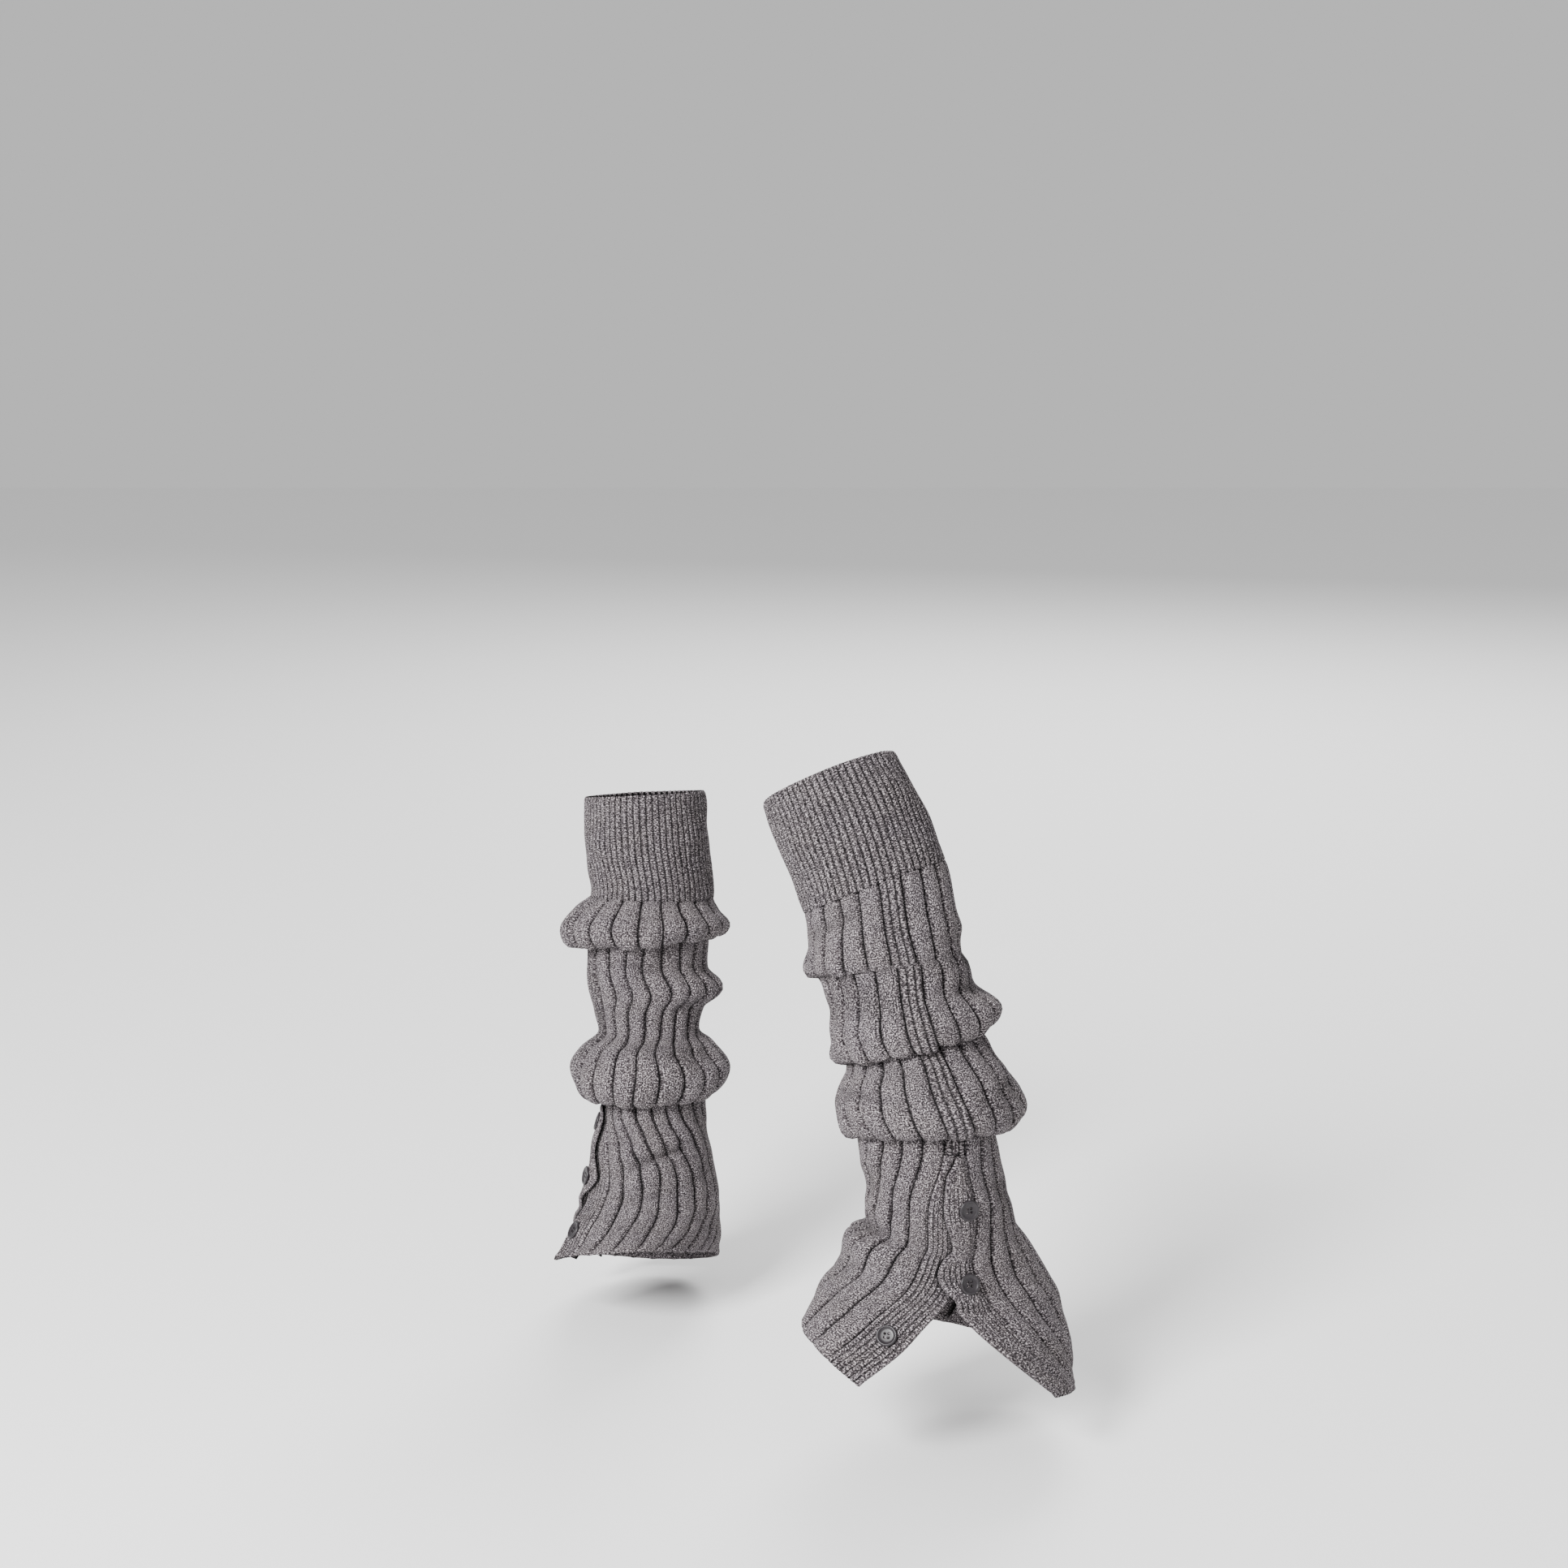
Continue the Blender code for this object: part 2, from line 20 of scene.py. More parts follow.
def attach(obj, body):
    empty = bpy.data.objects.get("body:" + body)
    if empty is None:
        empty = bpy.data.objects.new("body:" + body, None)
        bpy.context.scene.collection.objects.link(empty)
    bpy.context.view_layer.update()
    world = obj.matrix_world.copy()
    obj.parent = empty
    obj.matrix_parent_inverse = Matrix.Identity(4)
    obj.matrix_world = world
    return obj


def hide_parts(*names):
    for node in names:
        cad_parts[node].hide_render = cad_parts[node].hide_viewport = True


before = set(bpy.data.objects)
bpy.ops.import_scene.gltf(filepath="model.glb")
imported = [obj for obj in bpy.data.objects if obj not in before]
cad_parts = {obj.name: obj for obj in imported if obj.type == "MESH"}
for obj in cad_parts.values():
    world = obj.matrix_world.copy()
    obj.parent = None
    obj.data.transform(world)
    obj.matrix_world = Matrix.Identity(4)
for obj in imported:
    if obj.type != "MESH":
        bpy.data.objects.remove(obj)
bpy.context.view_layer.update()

# %% [markdown]
# ## Room, light and camera
#
# The pair hangs as it is worn, so the floor lies just under the lower hem. A pale floor and a pale world
# keep the light soft, and one large lamp on the left gives the folds their shape. A third lamp, behind,
# lights the floor there and the back of the pair. The camera looks down a little, from the front.

# %% Sizes of the room
MM = 0.001
FLOOR_Z = -0.434
FLOOR_SIZE = 14.0
KEY_PLACE = (-1.5, -1.9, 1.5)
KEY_SIZE = 1.0
KEY_WATTS = 215.0
FILL_PLACE = (1.9, -1.5, 0.8)
FILL_SIZE = 2.2
FILL_WATTS = 6.0
BACK_PLACE = (0.7, 3.0, 2.0)
BACK_SIZE = 2.0
BACK_WATTS = 130.0
WORLD_STRENGTH = 0.64
CAMERA_PLACE = (-0.0485, -1.81, 0.4195)
CAMERA_PITCH = 12.0
CAMERA_LENS = 60.0
CAMERA_SENSOR = 36.0
TARGET = Vector((0.0, 0.05, -0.2))


# %% Floor
def plain_material(name, colour, roughness):
    """A material with one plain finish, for what isn't part of the garment."""
    material = bpy.data.materials.new(name)
    material.use_nodes = True
    shader = material.node_tree.nodes["Principled BSDF"]
    shader.inputs["Base Color"].default_value = (*colour, 1)
    shader.inputs["Roughness"].default_value = roughness
    return material


def make_floor():
    build = bmesh.new()
    bmesh.ops.create_grid(build, x_segments=1, y_segments=1, size=FLOOR_SIZE / 2)
    bmesh.ops.translate(build, verts=build.verts, vec=(0, 0, FLOOR_Z))
    mesh = bpy.data.meshes.new("floor")
    build.to_mesh(mesh)
    build.free()
    mesh.materials.append(plain_material("floor", (0.9, 0.9, 0.9), 0.7))
    floor = bpy.data.objects.new("floor", mesh)
    bpy.context.scene.collection.objects.link(floor)
    return floor


FLOOR = make_floor()
print("floor at", FLOOR_Z)


# %% Lamps and world
def lamp(name, place, size, watts):
    """A square soft lamp that faces the pair."""
    data = bpy.data.lights.new(name, "AREA")
    data.size = size
    data.energy = watts
    thing = bpy.data.objects.new(name, data)
    thing.location = place
    thing.rotation_euler = (Vector(place) - TARGET).to_track_quat("Z", "Y").to_euler()
    bpy.context.scene.collection.objects.link(thing)
    return thing


lamp("key", KEY_PLACE, KEY_SIZE, KEY_WATTS)
lamp("fill", FILL_PLACE, FILL_SIZE, FILL_WATTS)
lamp("back", BACK_PLACE, BACK_SIZE, BACK_WATTS)
world = bpy.data.worlds.new("pale room")
world.use_nodes = True
world.node_tree.nodes["Background"].inputs["Color"].default_value = (1.0, 1.0, 1.0, 1)
world.node_tree.nodes["Background"].inputs["Strength"].default_value = WORLD_STRENGTH
bpy.context.scene.world = world

# %% Camera
camera_data = bpy.data.cameras.new("camera")
camera_data.lens = CAMERA_LENS
camera_data.sensor_width = CAMERA_SENSOR
camera = bpy.data.objects.new("camera", camera_data)
camera.location = CAMERA_PLACE
camera.rotation_euler = (math.radians(90 - CAMERA_PITCH), 0, 0)
bpy.context.scene.collection.objects.link(camera)
bpy.context.scene.camera = camera
print("camera at", CAMERA_PLACE)

# %% [markdown]
# ## The knitting's own sizes
#
# A knitter counts stitches. A hundred and twenty stitches go round each leg: sixty fine ribs of one knit
# and one purl in the cuff, then twenty wide ribs of five knit and one purl. So every wide rib is six
# stitches, every fine rib is two, and one count of stitches runs from rim to hem. All lengths below are
# millimetres.

# %% Stitches and ribs
WIDE_RIBS = 20
PANEL_RIBS = WIDE_RIBS - 1
FINE_RIBS_EACH = 3
STITCHES_EACH = 6
BAND_RIBS = 7
BAND_STITCHES = 14
BAND_WIDTH = 1.5
COURSE = 1.95
RIB_PITCH = 15.0
SEAM_GAP = 0.3
CREST = 1.75
BAND_CREST = 1.35
OVERLAP_LIFT = 3.6
OVERLAP_CLIMB = 0.45
OVERLAP_FADE = 0.6
UNDER_START = 0.35
UNDER_LENGTH = 28.0
OVER_START = 0.6
OVER_LENGTH = 12.0
WAVE = 0.5
FLAP_RIBS = 6
RING_STEPS = 192
SLOPE_GAIN = 1.6
SLOPE_SPARE = 0.12
FACING_RIBS = 0.1
FACING_STEP = 1.2
print(WIDE_RIBS * STITCHES_EACH, "stitches round each leg")

# %% [markdown]
# ## Rings, flaps and creases
#
# These are the garment's measurements, the same as the solids have: a row for each ring of the cloth from
# rim to hem, a row for each place where the vent swings open, and a row for each crease. The tables of
# folds and ripples that follow are finer, and the solids go without them.

# %% Tables of the cloth
# Rings from the cuff's rim to the hem. The centre is at along, out and z. The ring tips up by tip_toe
# and tip_out at the toe and outer sides. The ribs' crests reach toe, heel, outer and inner from its
# centre. Turn is the seam's swing to the toe in degrees.
Ring = namedtuple("Ring", "name z tip_toe tip_out along out toe heel outer inner turn")

LEFT_RINGS = (
    Ring("rim", 38, -9, 22, 13, -12, 46, 46, 46, 46, 1),
    Ring("cuff middle", 0, -11, 24, 0, 0, 48, 48, 48, 48, 2),
    Ring("cuff end", -39, -11, 21, -12, 13, 49, 49, 49, 49, 6),
    Ring("above fold 1", -69, -4, 16, -14, 23, 53, 51, 51, 52, 7),
    Ring("fold 1 lip", -91, -1, 14, -13, 28, 55, 53, 54, 55, 4),
    Ring("fold 1 tuck", -94, 3, 15, -17, 31, 53, 53, 53, 52, 6),
    Ring("between", -114, -3, 11, -21, 36, 52, 53, 52, 52, 8),
    Ring("fold 2 crest", -133, -6, 12, -27, 43, 57, 63, 60, 57, 13),
    Ring("fold 2 lip", -145, -7, 14, -26, 45, 56, 52, 57, 56, 9),
    Ring("fold 2 tuck", -147, -7, 16, -24, 46, 45, 42, 45, 45, 6),
    Ring("under fold 2", -156, -4, 15, -26, 49, 47, 47, 49, 47, 4),
    Ring("fold 3 flare", -176, 0, 14, -31, 54, 61, 62, 61, 60, 4),
    Ring("fold 3 crest", -191, 4, 11, -34, 58, 67, 68, 65, 65, 2),
    Ring("fold 3 lip", -206, 3, 13, -34, 60, 61, 57, 59, 58, -2),
    Ring("fold 3 tuck", -208, 6, 14, -31, 60, 49, 48, 49, 48, -4),
    Ring("vent top", -222, 8, 11, -31, 61, 49, 49, 49, 48, -4),
    Ring("ankle", -250, 4, 4, -36, 65, 49, 52, 50, 49, 7),
    Ring("instep crease", -282, 5, 2, -36, 65, 50, 62, 52, 50, 9),
    Ring("instep fold", -290, 9, 1, -36, 65, 66, 70, 54, 54, 9),
    Ring("flare 1", -312, 12, 0, -36, 65, 71, 86, 62, 56, 11),
    Ring("flare 2", -332, 19, 0, -36, 65, 83, 96, 76, 56, 12),
    Ring("flare 3", -353, 27, 0, -36, 65, 94, 100, 95, 55, 8),
    Ring("hem", -369, 28, 0, -36, 65, 102, 95, 112, 54, 4),
)

RIGHT_RINGS = (
    Ring("rim", 40, 7, -5, 1, 1, 46, 46, 46, 46, 30),
    Ring("cuff middle", 0, 7, -3, 0, 0, 48, 48, 48, 48, 30),
    Ring("cuff end", -44, 8, -2, -1, -3, 48, 48, 48, 48, 32),
    Ring("fold 1 flare", -54, 10, -3, 0, 0, 56, 56, 57, 56, 34),
    Ring("fold 1 crest", -69, 11, -6, 1, 2, 66, 65, 66, 66, 36),
    Ring("fold 1 lip", -76, 8, -7, 1, 2, 61, 60, 61, 61, 37),
    Ring("fold 1 tuck", -75, 7, -5, 2, -1, 48, 48, 48, 48, 37),
    Ring("between", -102, 9, -5, 5, -1, 47, 48, 47, 48, 37),
    Ring("fold 2 crest", -120, 7, -7, 5, -4, 47, 50, 46, 57, 37),
    Ring("fold 2 tuck", -132, 6, -5, 8, -4, 43, 42, 43, 43, 37),
    Ring("waist", -151, 4, -2, 14, -6, 40, 40, 40, 40, 35),
    Ring("fold 3 flare", -163, 8, -5, 16, -5, 52, 52, 53, 52, 32),
    Ring("fold 3 crest", -178, 6, -3, 18, -9, 62, 62, 63, 62, 30),
    Ring("fold 3 lip", -195, 3, -3, 21, -10, 53, 53, 54, 53, 27),
    Ring("fold 3 tuck", -194, 6, -6, 22, -13, 39, 39, 39, 39, 20),
    Ring("vent top", -205, 4, -4, 23, -13, 40, 40, 37, 40, 18),
    Ring("puckers", -225, 2, -3, 25, -13, 42, 43, 42, 42, 27),
    Ring("ankle", -252, 2, -3, 28, -12, 49, 50, 46, 48, 42),
    Ring("flare 1", -280, 8, -2, 28, -12, 60, 60, 51, 52, 40),
    Ring("flare 2", -302, 18, -3, 28, -12, 71, 66, 58, 52, 39),
    Ring("flare 3", -319, 26, -6, 28, -12, 80, 68, 63, 52, 38),
    Ring("hem", -332, 32, -9, 28, -12, 87, 68, 67, 49, 37),
)

# How far the vent's two edges swing open at a ring, how far their corners drop and how far they
# stand out.
Flap = namedtuple("Flap", "ring open_front open_back drop_front drop_back out_front out_back")

LEFT_FLAPS = (
    Flap("ankle", 7, 9, 0, 0, 0, 0),
    Flap("instep crease", 6, 10, 0, 0, 0, 0),
    Flap("instep fold", 7, 10, 0, 0, 0, 0),
    Flap("flare 1", 15, 20, 0, 0, 0, 0),
    Flap("flare 2", 34, 40, -2, 1, 0, 0),
    Flap("flare 3", 66, 63, -8, 2, 0, 0),
    Flap("hem", 104, 82, -18, 3, 0, 0),
)

RIGHT_FLAPS = (
    Flap("puckers", 6, 7, 0, 0, 0, 0),
    Flap("ankle", 7, 8, 0, 0, 0, 0),
    Flap("flare 1", 11, 16, 0, 0, 0, 0),
    Flap("flare 2", 14, 40, -1, 0, 2, 0),
    Flap("flare 3", 16, 68, -4, 0, 6, 0),
    Flap("hem", 17, 90, -8, 0, 10, 0),
)

# Soft troughs and ridges: their middle at a ring and rib, reach in ribs, width down the cloth, tilt
# down the cloth for each rib, and depth outwards.
Crease = namedtuple("Crease", "ring rib reach width tilt depth")

LEFT_CREASES = (
    Crease("between", 5.0, 4.0, 9, 2.0, -2.5),
    Crease("instep crease", 6.0, 3.5, 7, 1.5, -3.0),
    Crease("under fold 2", 16.0, 3.0, 9, -2.0, 4.0),
)

RIGHT_CREASES = (
    Crease("ankle", 3.3, 2.0, 7, -7.0, 4.5),
    Crease("puckers", 5.5, 3.0, 7, 0.5, 3.0),
    Crease("puckers", 3.4, 1.9, 6, -6.0, -2.5),
)

# Buttons: which one, how far down the cloth between two rings, and the rib it sits on.
Button = namedtuple("Button", "number above below share rib")

LEFT_BUTTONS = (
    Button(1, "ankle", "instep crease", 0.08, 0.45),
    Button(2, "instep fold", "flare 1", 0.6, 0.45),
    Button(3, "flare 2", "flare 3", 0.6, 0.25),
)

RIGHT_BUTTONS = (
    Button(1, "vent top", "puckers", 0.75, 0.45),
    Button(2, "ankle", "flare 1", 0.3, 0.45),
    Button(3, "flare 2", "flare 3", 0.5, 0.0),
)

# Smaller soft troughs and ridges, some of them on the hidden sides: as the creases above, with a place
# so many millimetres below a ring.
Fold = namedtuple("Fold", "ring below rib reach width tilt depth")

LEFT_FOLDS = (
    Fold("above fold 1", -12, 4.0, 2.5, 6, 1.5, -2.0),
    Fold("above fold 1", 4, 17.4, 2.2, 5, -1.5, 2.0),
    Fold("between", 0, 17.6, 2.4, 6, -2.5, -2.4),
    Fold("between", -6, 10.0, 3.5, 7, 1.0, -2.4),
    Fold("fold 2 crest", -6, 2.8, 2.0, 5, 2.5, 1.8),
    Fold("fold 3 flare", 0, 4.0, 2.5, 6, -2.5, -2.2),
    Fold("fold 3 flare", 4, 17.6, 2.2, 6, 2.5, -2.4),
    Fold("fold 3 flare", 2, 11.0, 3.0, 7, -1.5, 2.2),
    Fold("vent top", 8, 4.2, 2.5, 5, 2.5, 2.2),
    Fold("ankle", -4, 10.5, 3.5, 8, 2.0, -2.4),
    Fold("ankle", 0, 16.6, 2.8, 8, -4.0, -2.4),
    Fold("ankle", 14, 4.0, 2.4, 6, -3.0, 2.2),
    Fold("flare 1", 8, 16.6, 2.6, 8, -4.0, 2.4),
)

RIGHT_FOLDS = (
    Fold("between", -4, 4.0, 2.6, 6, 2.0, -2.2),
    Fold("between", 2, 12.0, 3.2, 7, -1.5, -2.2),
    Fold("waist", 0, 3.4, 2.4, 5, -2.0, 1.8),
    Fold("fold 3 flare", 2, 6.2, 2.4, 6, 2.5, -2.4),
    Fold("fold 3 flare", 4, 13.5, 3.0, 7, 1.5, 2.2),
    Fold("vent top", 6, 5.0, 2.6, 4, 1.0, 2.0),
    Fold("puckers", 6, 4.0, 2.6, 5.0, -2.5, 4.5),
    Fold("puckers", 15, 4.2, 2.2, 3.4, -3.5, -5.5),
    Fold("ankle", 14, 4.5, 2.8, 6, -3.5, -1.8),
    Fold("ankle", -4, 12.5, 3.5, 8, 2.0, -2.4),
    Fold("flare 1", 8, 6.5, 2.6, 7, 3.0, 1.8),
    Fold("flare 2", 0, 14.5, 3.0, 8, -3.0, -2.2),
)

# Ripples that run all over the slouched cloth: waves round the leg, length down the cloth, start and
# height.
Ripple = namedtuple("Ripple", "waves length start height")

LEFT_RIPPLES = (
    Ripple(3, 63.0, 0.4, 0.5),
    Ripple(-5, 41.0, 2.1, 0.35),
    Ripple(7, 29.0, 4.0, 0.2),
)

RIGHT_RIPPLES = (
    Ripple(4, 57.0, 1.2, 0.45),
    Ripple(-3, 37.0, 3.0, 0.35),
    Ripple(8, 27.0, 0.6, 0.2),
)

# %% [markdown]
# ## The cloth as a surface
#
# Both legs follow one rule. A ring of cloth is an ellipse with its own reach to the toe, the heel and
# either side, tipped a little. A smooth curve runs through the rings, so a place on the cloth is given by
# how far down it lies and by its rib. `Leg.skin` turns that into a point, lifted off the middle of the
# cloth, with the creases pressed in.

# %% A smooth curve through rows of values
def slopes_of(knots, values):
    """Slopes for a smooth curve through rows of values, held back beside a flat stretch."""
    slopes = np.gradient(values, knots, axis=0)
    secants = np.abs(np.diff(values, axis=0) / np.diff(knots)[:, None])
    most = SLOPE_GAIN * np.minimum(secants[:-1], secants[1:]) + SLOPE_SPARE
    slopes[1:-1] = np.clip(slopes[1:-1], -most, most)
    return slopes


def running_curve(knots, values, slopes, t):
    """The smooth curve through rows of values, read at t."""
    i = int(np.clip(np.searchsorted(knots, t) - 1, 0, len(knots) - 2))
    span = knots[i + 1] - knots[i]
    s = (t - knots[i]) / span
    start = (1 + 2 * s) * (1 - s) ** 2 * values[i] + s * (1 - s) ** 2 * span * slopes[i]
    end = s * s * (3 - 2 * s) * values[i + 1] + s * s * (s - 1) * span * slopes[i + 1]
    return start + end


def eased(share):
    """A soft step from 0 to 1."""
    share = np.clip(share, 0, 1)
    return share * share * (3 - 2 * share)


# %% A leg of cloth
class Leg:
    """One leg warmer's cloth. Down is the distance down the cloth, rib is counted round from the seam."""

    def __init__(self, name, at, heading, side, rings, flaps, creases, buttons, folds, ripples):
        self.name = name
        self.at = np.array(at, float)
        toe = math.radians(heading)
        self.along = np.array((math.cos(toe), math.sin(toe), 0.0))
        self.out = side * np.array((-math.sin(toe), math.cos(toe), 0.0))
        self.side = side
        self.buttons = buttons
        opened = {flap.ring: flap[1:] for flap in flaps}
        self.rows = np.array([ring[1:] + tuple(opened.get(ring.name, (0,) * 6)) for ring in rings], float)
        steps = np.abs(np.diff(self.rows[:, [0, 5, 6, 7, 8]], axis=0))
        lengths = np.hypot(steps[:, 0], steps[:, 1:].mean(axis=1))
        self.knots = np.concatenate([[0.0], np.cumsum(lengths)])
        self.slopes = slopes_of(self.knots, self.rows)
        self.down_at = {ring.name: down for ring, down in zip(rings, self.knots)}
        self.creases = [(self.down_at[crease.ring],) + crease[1:] for crease in creases]
        self.creases += [(self.down_at[fold.ring] + fold.below,) + fold[2:] for fold in folds]
        self.ripples = ripples

    def ring(self, down):
        """One ring of the cloth: its points, the distance round to each, and the values of its row."""
        row = running_curve(self.knots, self.rows, self.slopes, down)
        z, tip_toe, tip_out, along, out, toe, heel, outer, inner, turn = row[:10]
        angle = math.radians(90 - turn) - np.linspace(0, 2 * math.pi, RING_STEPS + 1)
        cos, sin = np.cos(angle), np.sin(angle)
        x = along + (np.where(cos > 0, toe, heel) - CREST) * cos
        y = out + (np.where(sin > 0, outer, inner) - CREST) * sin
        points = np.stack([x, y, z + tip_toe * cos + tip_out * sin], axis=1)
        arc = np.concatenate([[0.0], np.cumsum(np.linalg.norm(np.diff(points, axis=0), axis=1))])
        return points, arc, row

    def spacing(self, arc, row):
        """Where the panel's front edge lies round the ring, and the width of a rib."""
        open_front, open_back = row[10:12]
        first = arc[-1] / WIDE_RIBS + open_front
        return first, (arc[-1] - open_back - first) / PANEL_RIBS

    def overlap(self, down):
        """How far the two bands lie over each other, in ribs."""
        _, arc, row = self.ring(down)
        first, pitch = self.spacing(arc, row)
        return 2 * BAND_WIDTH - (first + row[11]) / pitch

    def middle(self, down, ribs):
        """Points in the middle of the cloth, at one distance down and at each rib."""
        points, arc, row = self.ring(down)
        drop_front, drop_back, out_front, out_back = row[12:]
        first, pitch = self.spacing(arc, row)
        place = first + (ribs - 1) * pitch
        x, y, height = (np.interp(place, arc, points[:, i], period=arc[-1]) for i in range(3))
        near_front = np.clip(1 - (ribs + 0.5) / FLAP_RIBS, 0, 1) ** 2
        near_back = np.clip(1 - (WIDE_RIBS + 1.5 - ribs) / FLAP_RIBS, 0, 1) ** 2
        height += drop_front * near_front + drop_back * near_back
        y += out_front * near_front + out_back * near_back
        return self.at + np.outer(x, self.along) + np.outer(y, self.out) + np.outer(height, (0, 0, 1))

    def pressed(self, down, ribs):
        """How far the creases and ripples move the cloth out."""
        push = np.zeros(len(ribs))
        for ring, rib, reach, width, tilt, depth in self.creases:
            round_to = (ribs - rib + WIDE_RIBS / 2) % WIDE_RIBS - WIDE_RIBS / 2
            off = round_to / reach
            along = (down - ring - tilt * round_to) / width
            push += depth * np.exp(-along * along) * np.clip(1 - off * off, 0, 1)
        for waves, length, start, height in self.ripples:
            turn = 2 * math.pi * (waves * ribs / WIDE_RIBS + down / length) + start
            push += height * np.sin(turn)
        return push

    def skin(self, down, ribs, lift):
        """Points lifted off the middle of the cloth, with the creases pressed in."""
        across = self.middle(down, ribs + FACING_RIBS) - self.middle(down, ribs - FACING_RIBS)
        low = min(down + FACING_STEP, self.knots[-1])
        high = max(down - FACING_STEP, 0.0)
        facing = self.side * np.cross(across, self.middle(low, ribs) - self.middle(high, ribs))
        facing /= np.linalg.norm(facing, axis=1)[:, None]
        return self.middle(down, ribs) + facing * (lift + self.pressed(down, ribs))[:, None]


# %% Both legs
LEFT = Leg(
    "left", (0, 0, 0), 205, 1, LEFT_RINGS, LEFT_FLAPS, LEFT_CREASES, LEFT_BUTTONS, LEFT_FOLDS, LEFT_RIPPLES,
)
RIGHT = Leg(
    "right", (-157, 205, -57), 250, -1, RIGHT_RINGS, RIGHT_FLAPS, RIGHT_CREASES, RIGHT_BUTTONS, RIGHT_FOLDS,
    RIGHT_RIPPLES,
)
LEGS = (LEFT, RIGHT)
for leg in LEGS:
    print(leg.name, "cloth is", round(leg.knots[-1]), "mm from rim to hem")

# %% [markdown]
# ## Knitted finish
#
# The yarn is a melange: pale, grey, mauve and brown fibres carded together, so every stitch is speckled.
# One node group draws the stitches, each a pair of slanted legs that make a V, and gives their height for
# the bump. The other mixes the fibres from noise, and paints shade between the stitch legs by darkening the
# colour there towards the dark fibre. Both read the piece's own stitch map, whose unit is one stitch across
# and one course down, so the pattern follows every fold. A third value, `furrow`, is painted shade: it is
# painted on the points where the purl stitches sink, and also under each fold's lip, in the creases and
# beside the upper band's edge, and it darkens them to near black as the shade there would.

# %% Yarn colours
# The dark fibre is also the colour that the painted shade between the stitch legs goes towards.
DARK_FIBRE_AND_GAP_SHADE = (0.015, 0.013, 0.015)
FIBRE_GREY = (0.080, 0.0725, 0.0762)
FIBRE_PALE = (0.520, 0.497, 0.508)
TINT_MAUVE = (1.0, 0.945, 1.01)
TINT_BROWN = (1.04, 0.98, 0.94)
# Painted shade: the colour is multiplied by this, near black, where the furrow value is one.
FURROW_SHADE = (0.002, 0.002, 0.002)
# Painted shade between the stitch legs: how far the colour there goes towards the dark fibre.
STITCH_GAP_SHADE = 0.5
FLECK_SCALE = 3.1
PATCH_SCALE = 1.1
CLOUD_SCALE = 0.09
FIBRE_STRETCH = (1.0, 0.8, 1.0)
FINE_SHARE, COARSE_SHARE, LEG_SHARE = 0.88, 0.06, 0.06
DARK_AT, GREY_AT, PALE_AT = 0.38, 0.50, 0.66
STITCH_SLANT = 0.62
STITCH_BUMP = 0.00055
FLECK_BUMP = 0.5
KNIT_ROUGHNESS = 0.92
KNIT_SPECULAR = 0.08
SHEEN = 0.03
SHEEN_ROUGHNESS = 0.45
SHEEN_TINT = (0.95, 0.92, 0.95)


# %% Helpers for node groups
def new_group(name, inputs, outputs):
    """A shader node group with named sockets, and its input and output nodes."""
    group = bpy.data.node_groups.new(name, "ShaderNodeTree")
    for label, kind, value in inputs:
        socket = group.interface.new_socket(name=label, in_out="INPUT", socket_type=kind)
        if value is not None:
            socket.default_value = value
    for label, kind in outputs:
        group.interface.new_socket(name=label, in_out="OUTPUT", socket_type=kind)
    return group, group.nodes.new("NodeGroupInput"), group.nodes.new("NodeGroupOutput")


def joined(tree, target, source):
    """Feeds a socket from another socket, or sets it to a plain value."""
    if hasattr(source, "is_output"):
        tree.links.new(target, source)
    elif source is not None:
        target.default_value = source


def maths(tree, operation, *values, clamp=False):
    """A Math node, returned as its output socket."""
    node = tree.nodes.new("ShaderNodeMath")
    node.operation = operation
    node.use_clamp = clamp
    for socket, value in zip(node.inputs, values):
        joined(tree, socket, value)
    return node.outputs[0]


def mixed(tree, factor, first, second, blend="MIX"):
    """A colour Mix node, returned as its output socket."""
    node = tree.nodes.new("ShaderNodeMix")
    node.data_type = "RGBA"
    node.blend_type = blend
    joined(tree, node.inputs["Factor"], factor)
    joined(tree, node.inputs["A"], first)
    joined(tree, node.inputs["B"], second)
    return node.outputs["Result"]


def noise(tree, vector, scale, detail, roughness, stretch=(1, 1, 1)):
    """A Noise node on a stretched vector, returned as its value."""
    mapping = tree.nodes.new("ShaderNodeMapping")
    mapping.inputs["Scale"].default_value = stretch
    joined(tree, mapping.inputs["Vector"], vector)
    node = tree.nodes.new("ShaderNodeTexNoise")
    tree.links.new(node.inputs["Vector"], mapping.outputs[0])
    node.inputs["Scale"].default_value = scale
    node.inputs["Detail"].default_value = detail
    node.inputs["Roughness"].default_value = roughness
    return node.outputs[0]


def colour(values):
    """Red, green and blue with full alpha."""
    return (*values, 1)


# %% The stitches
def arched(tree, value):
    """A round arch: one at nothing, falling to nothing at one either way."""
    square = maths(tree, "MULTIPLY", value, value)
    return maths(tree, "SQRT", maths(tree, "SUBTRACT", 1.0, square, clamp=True))


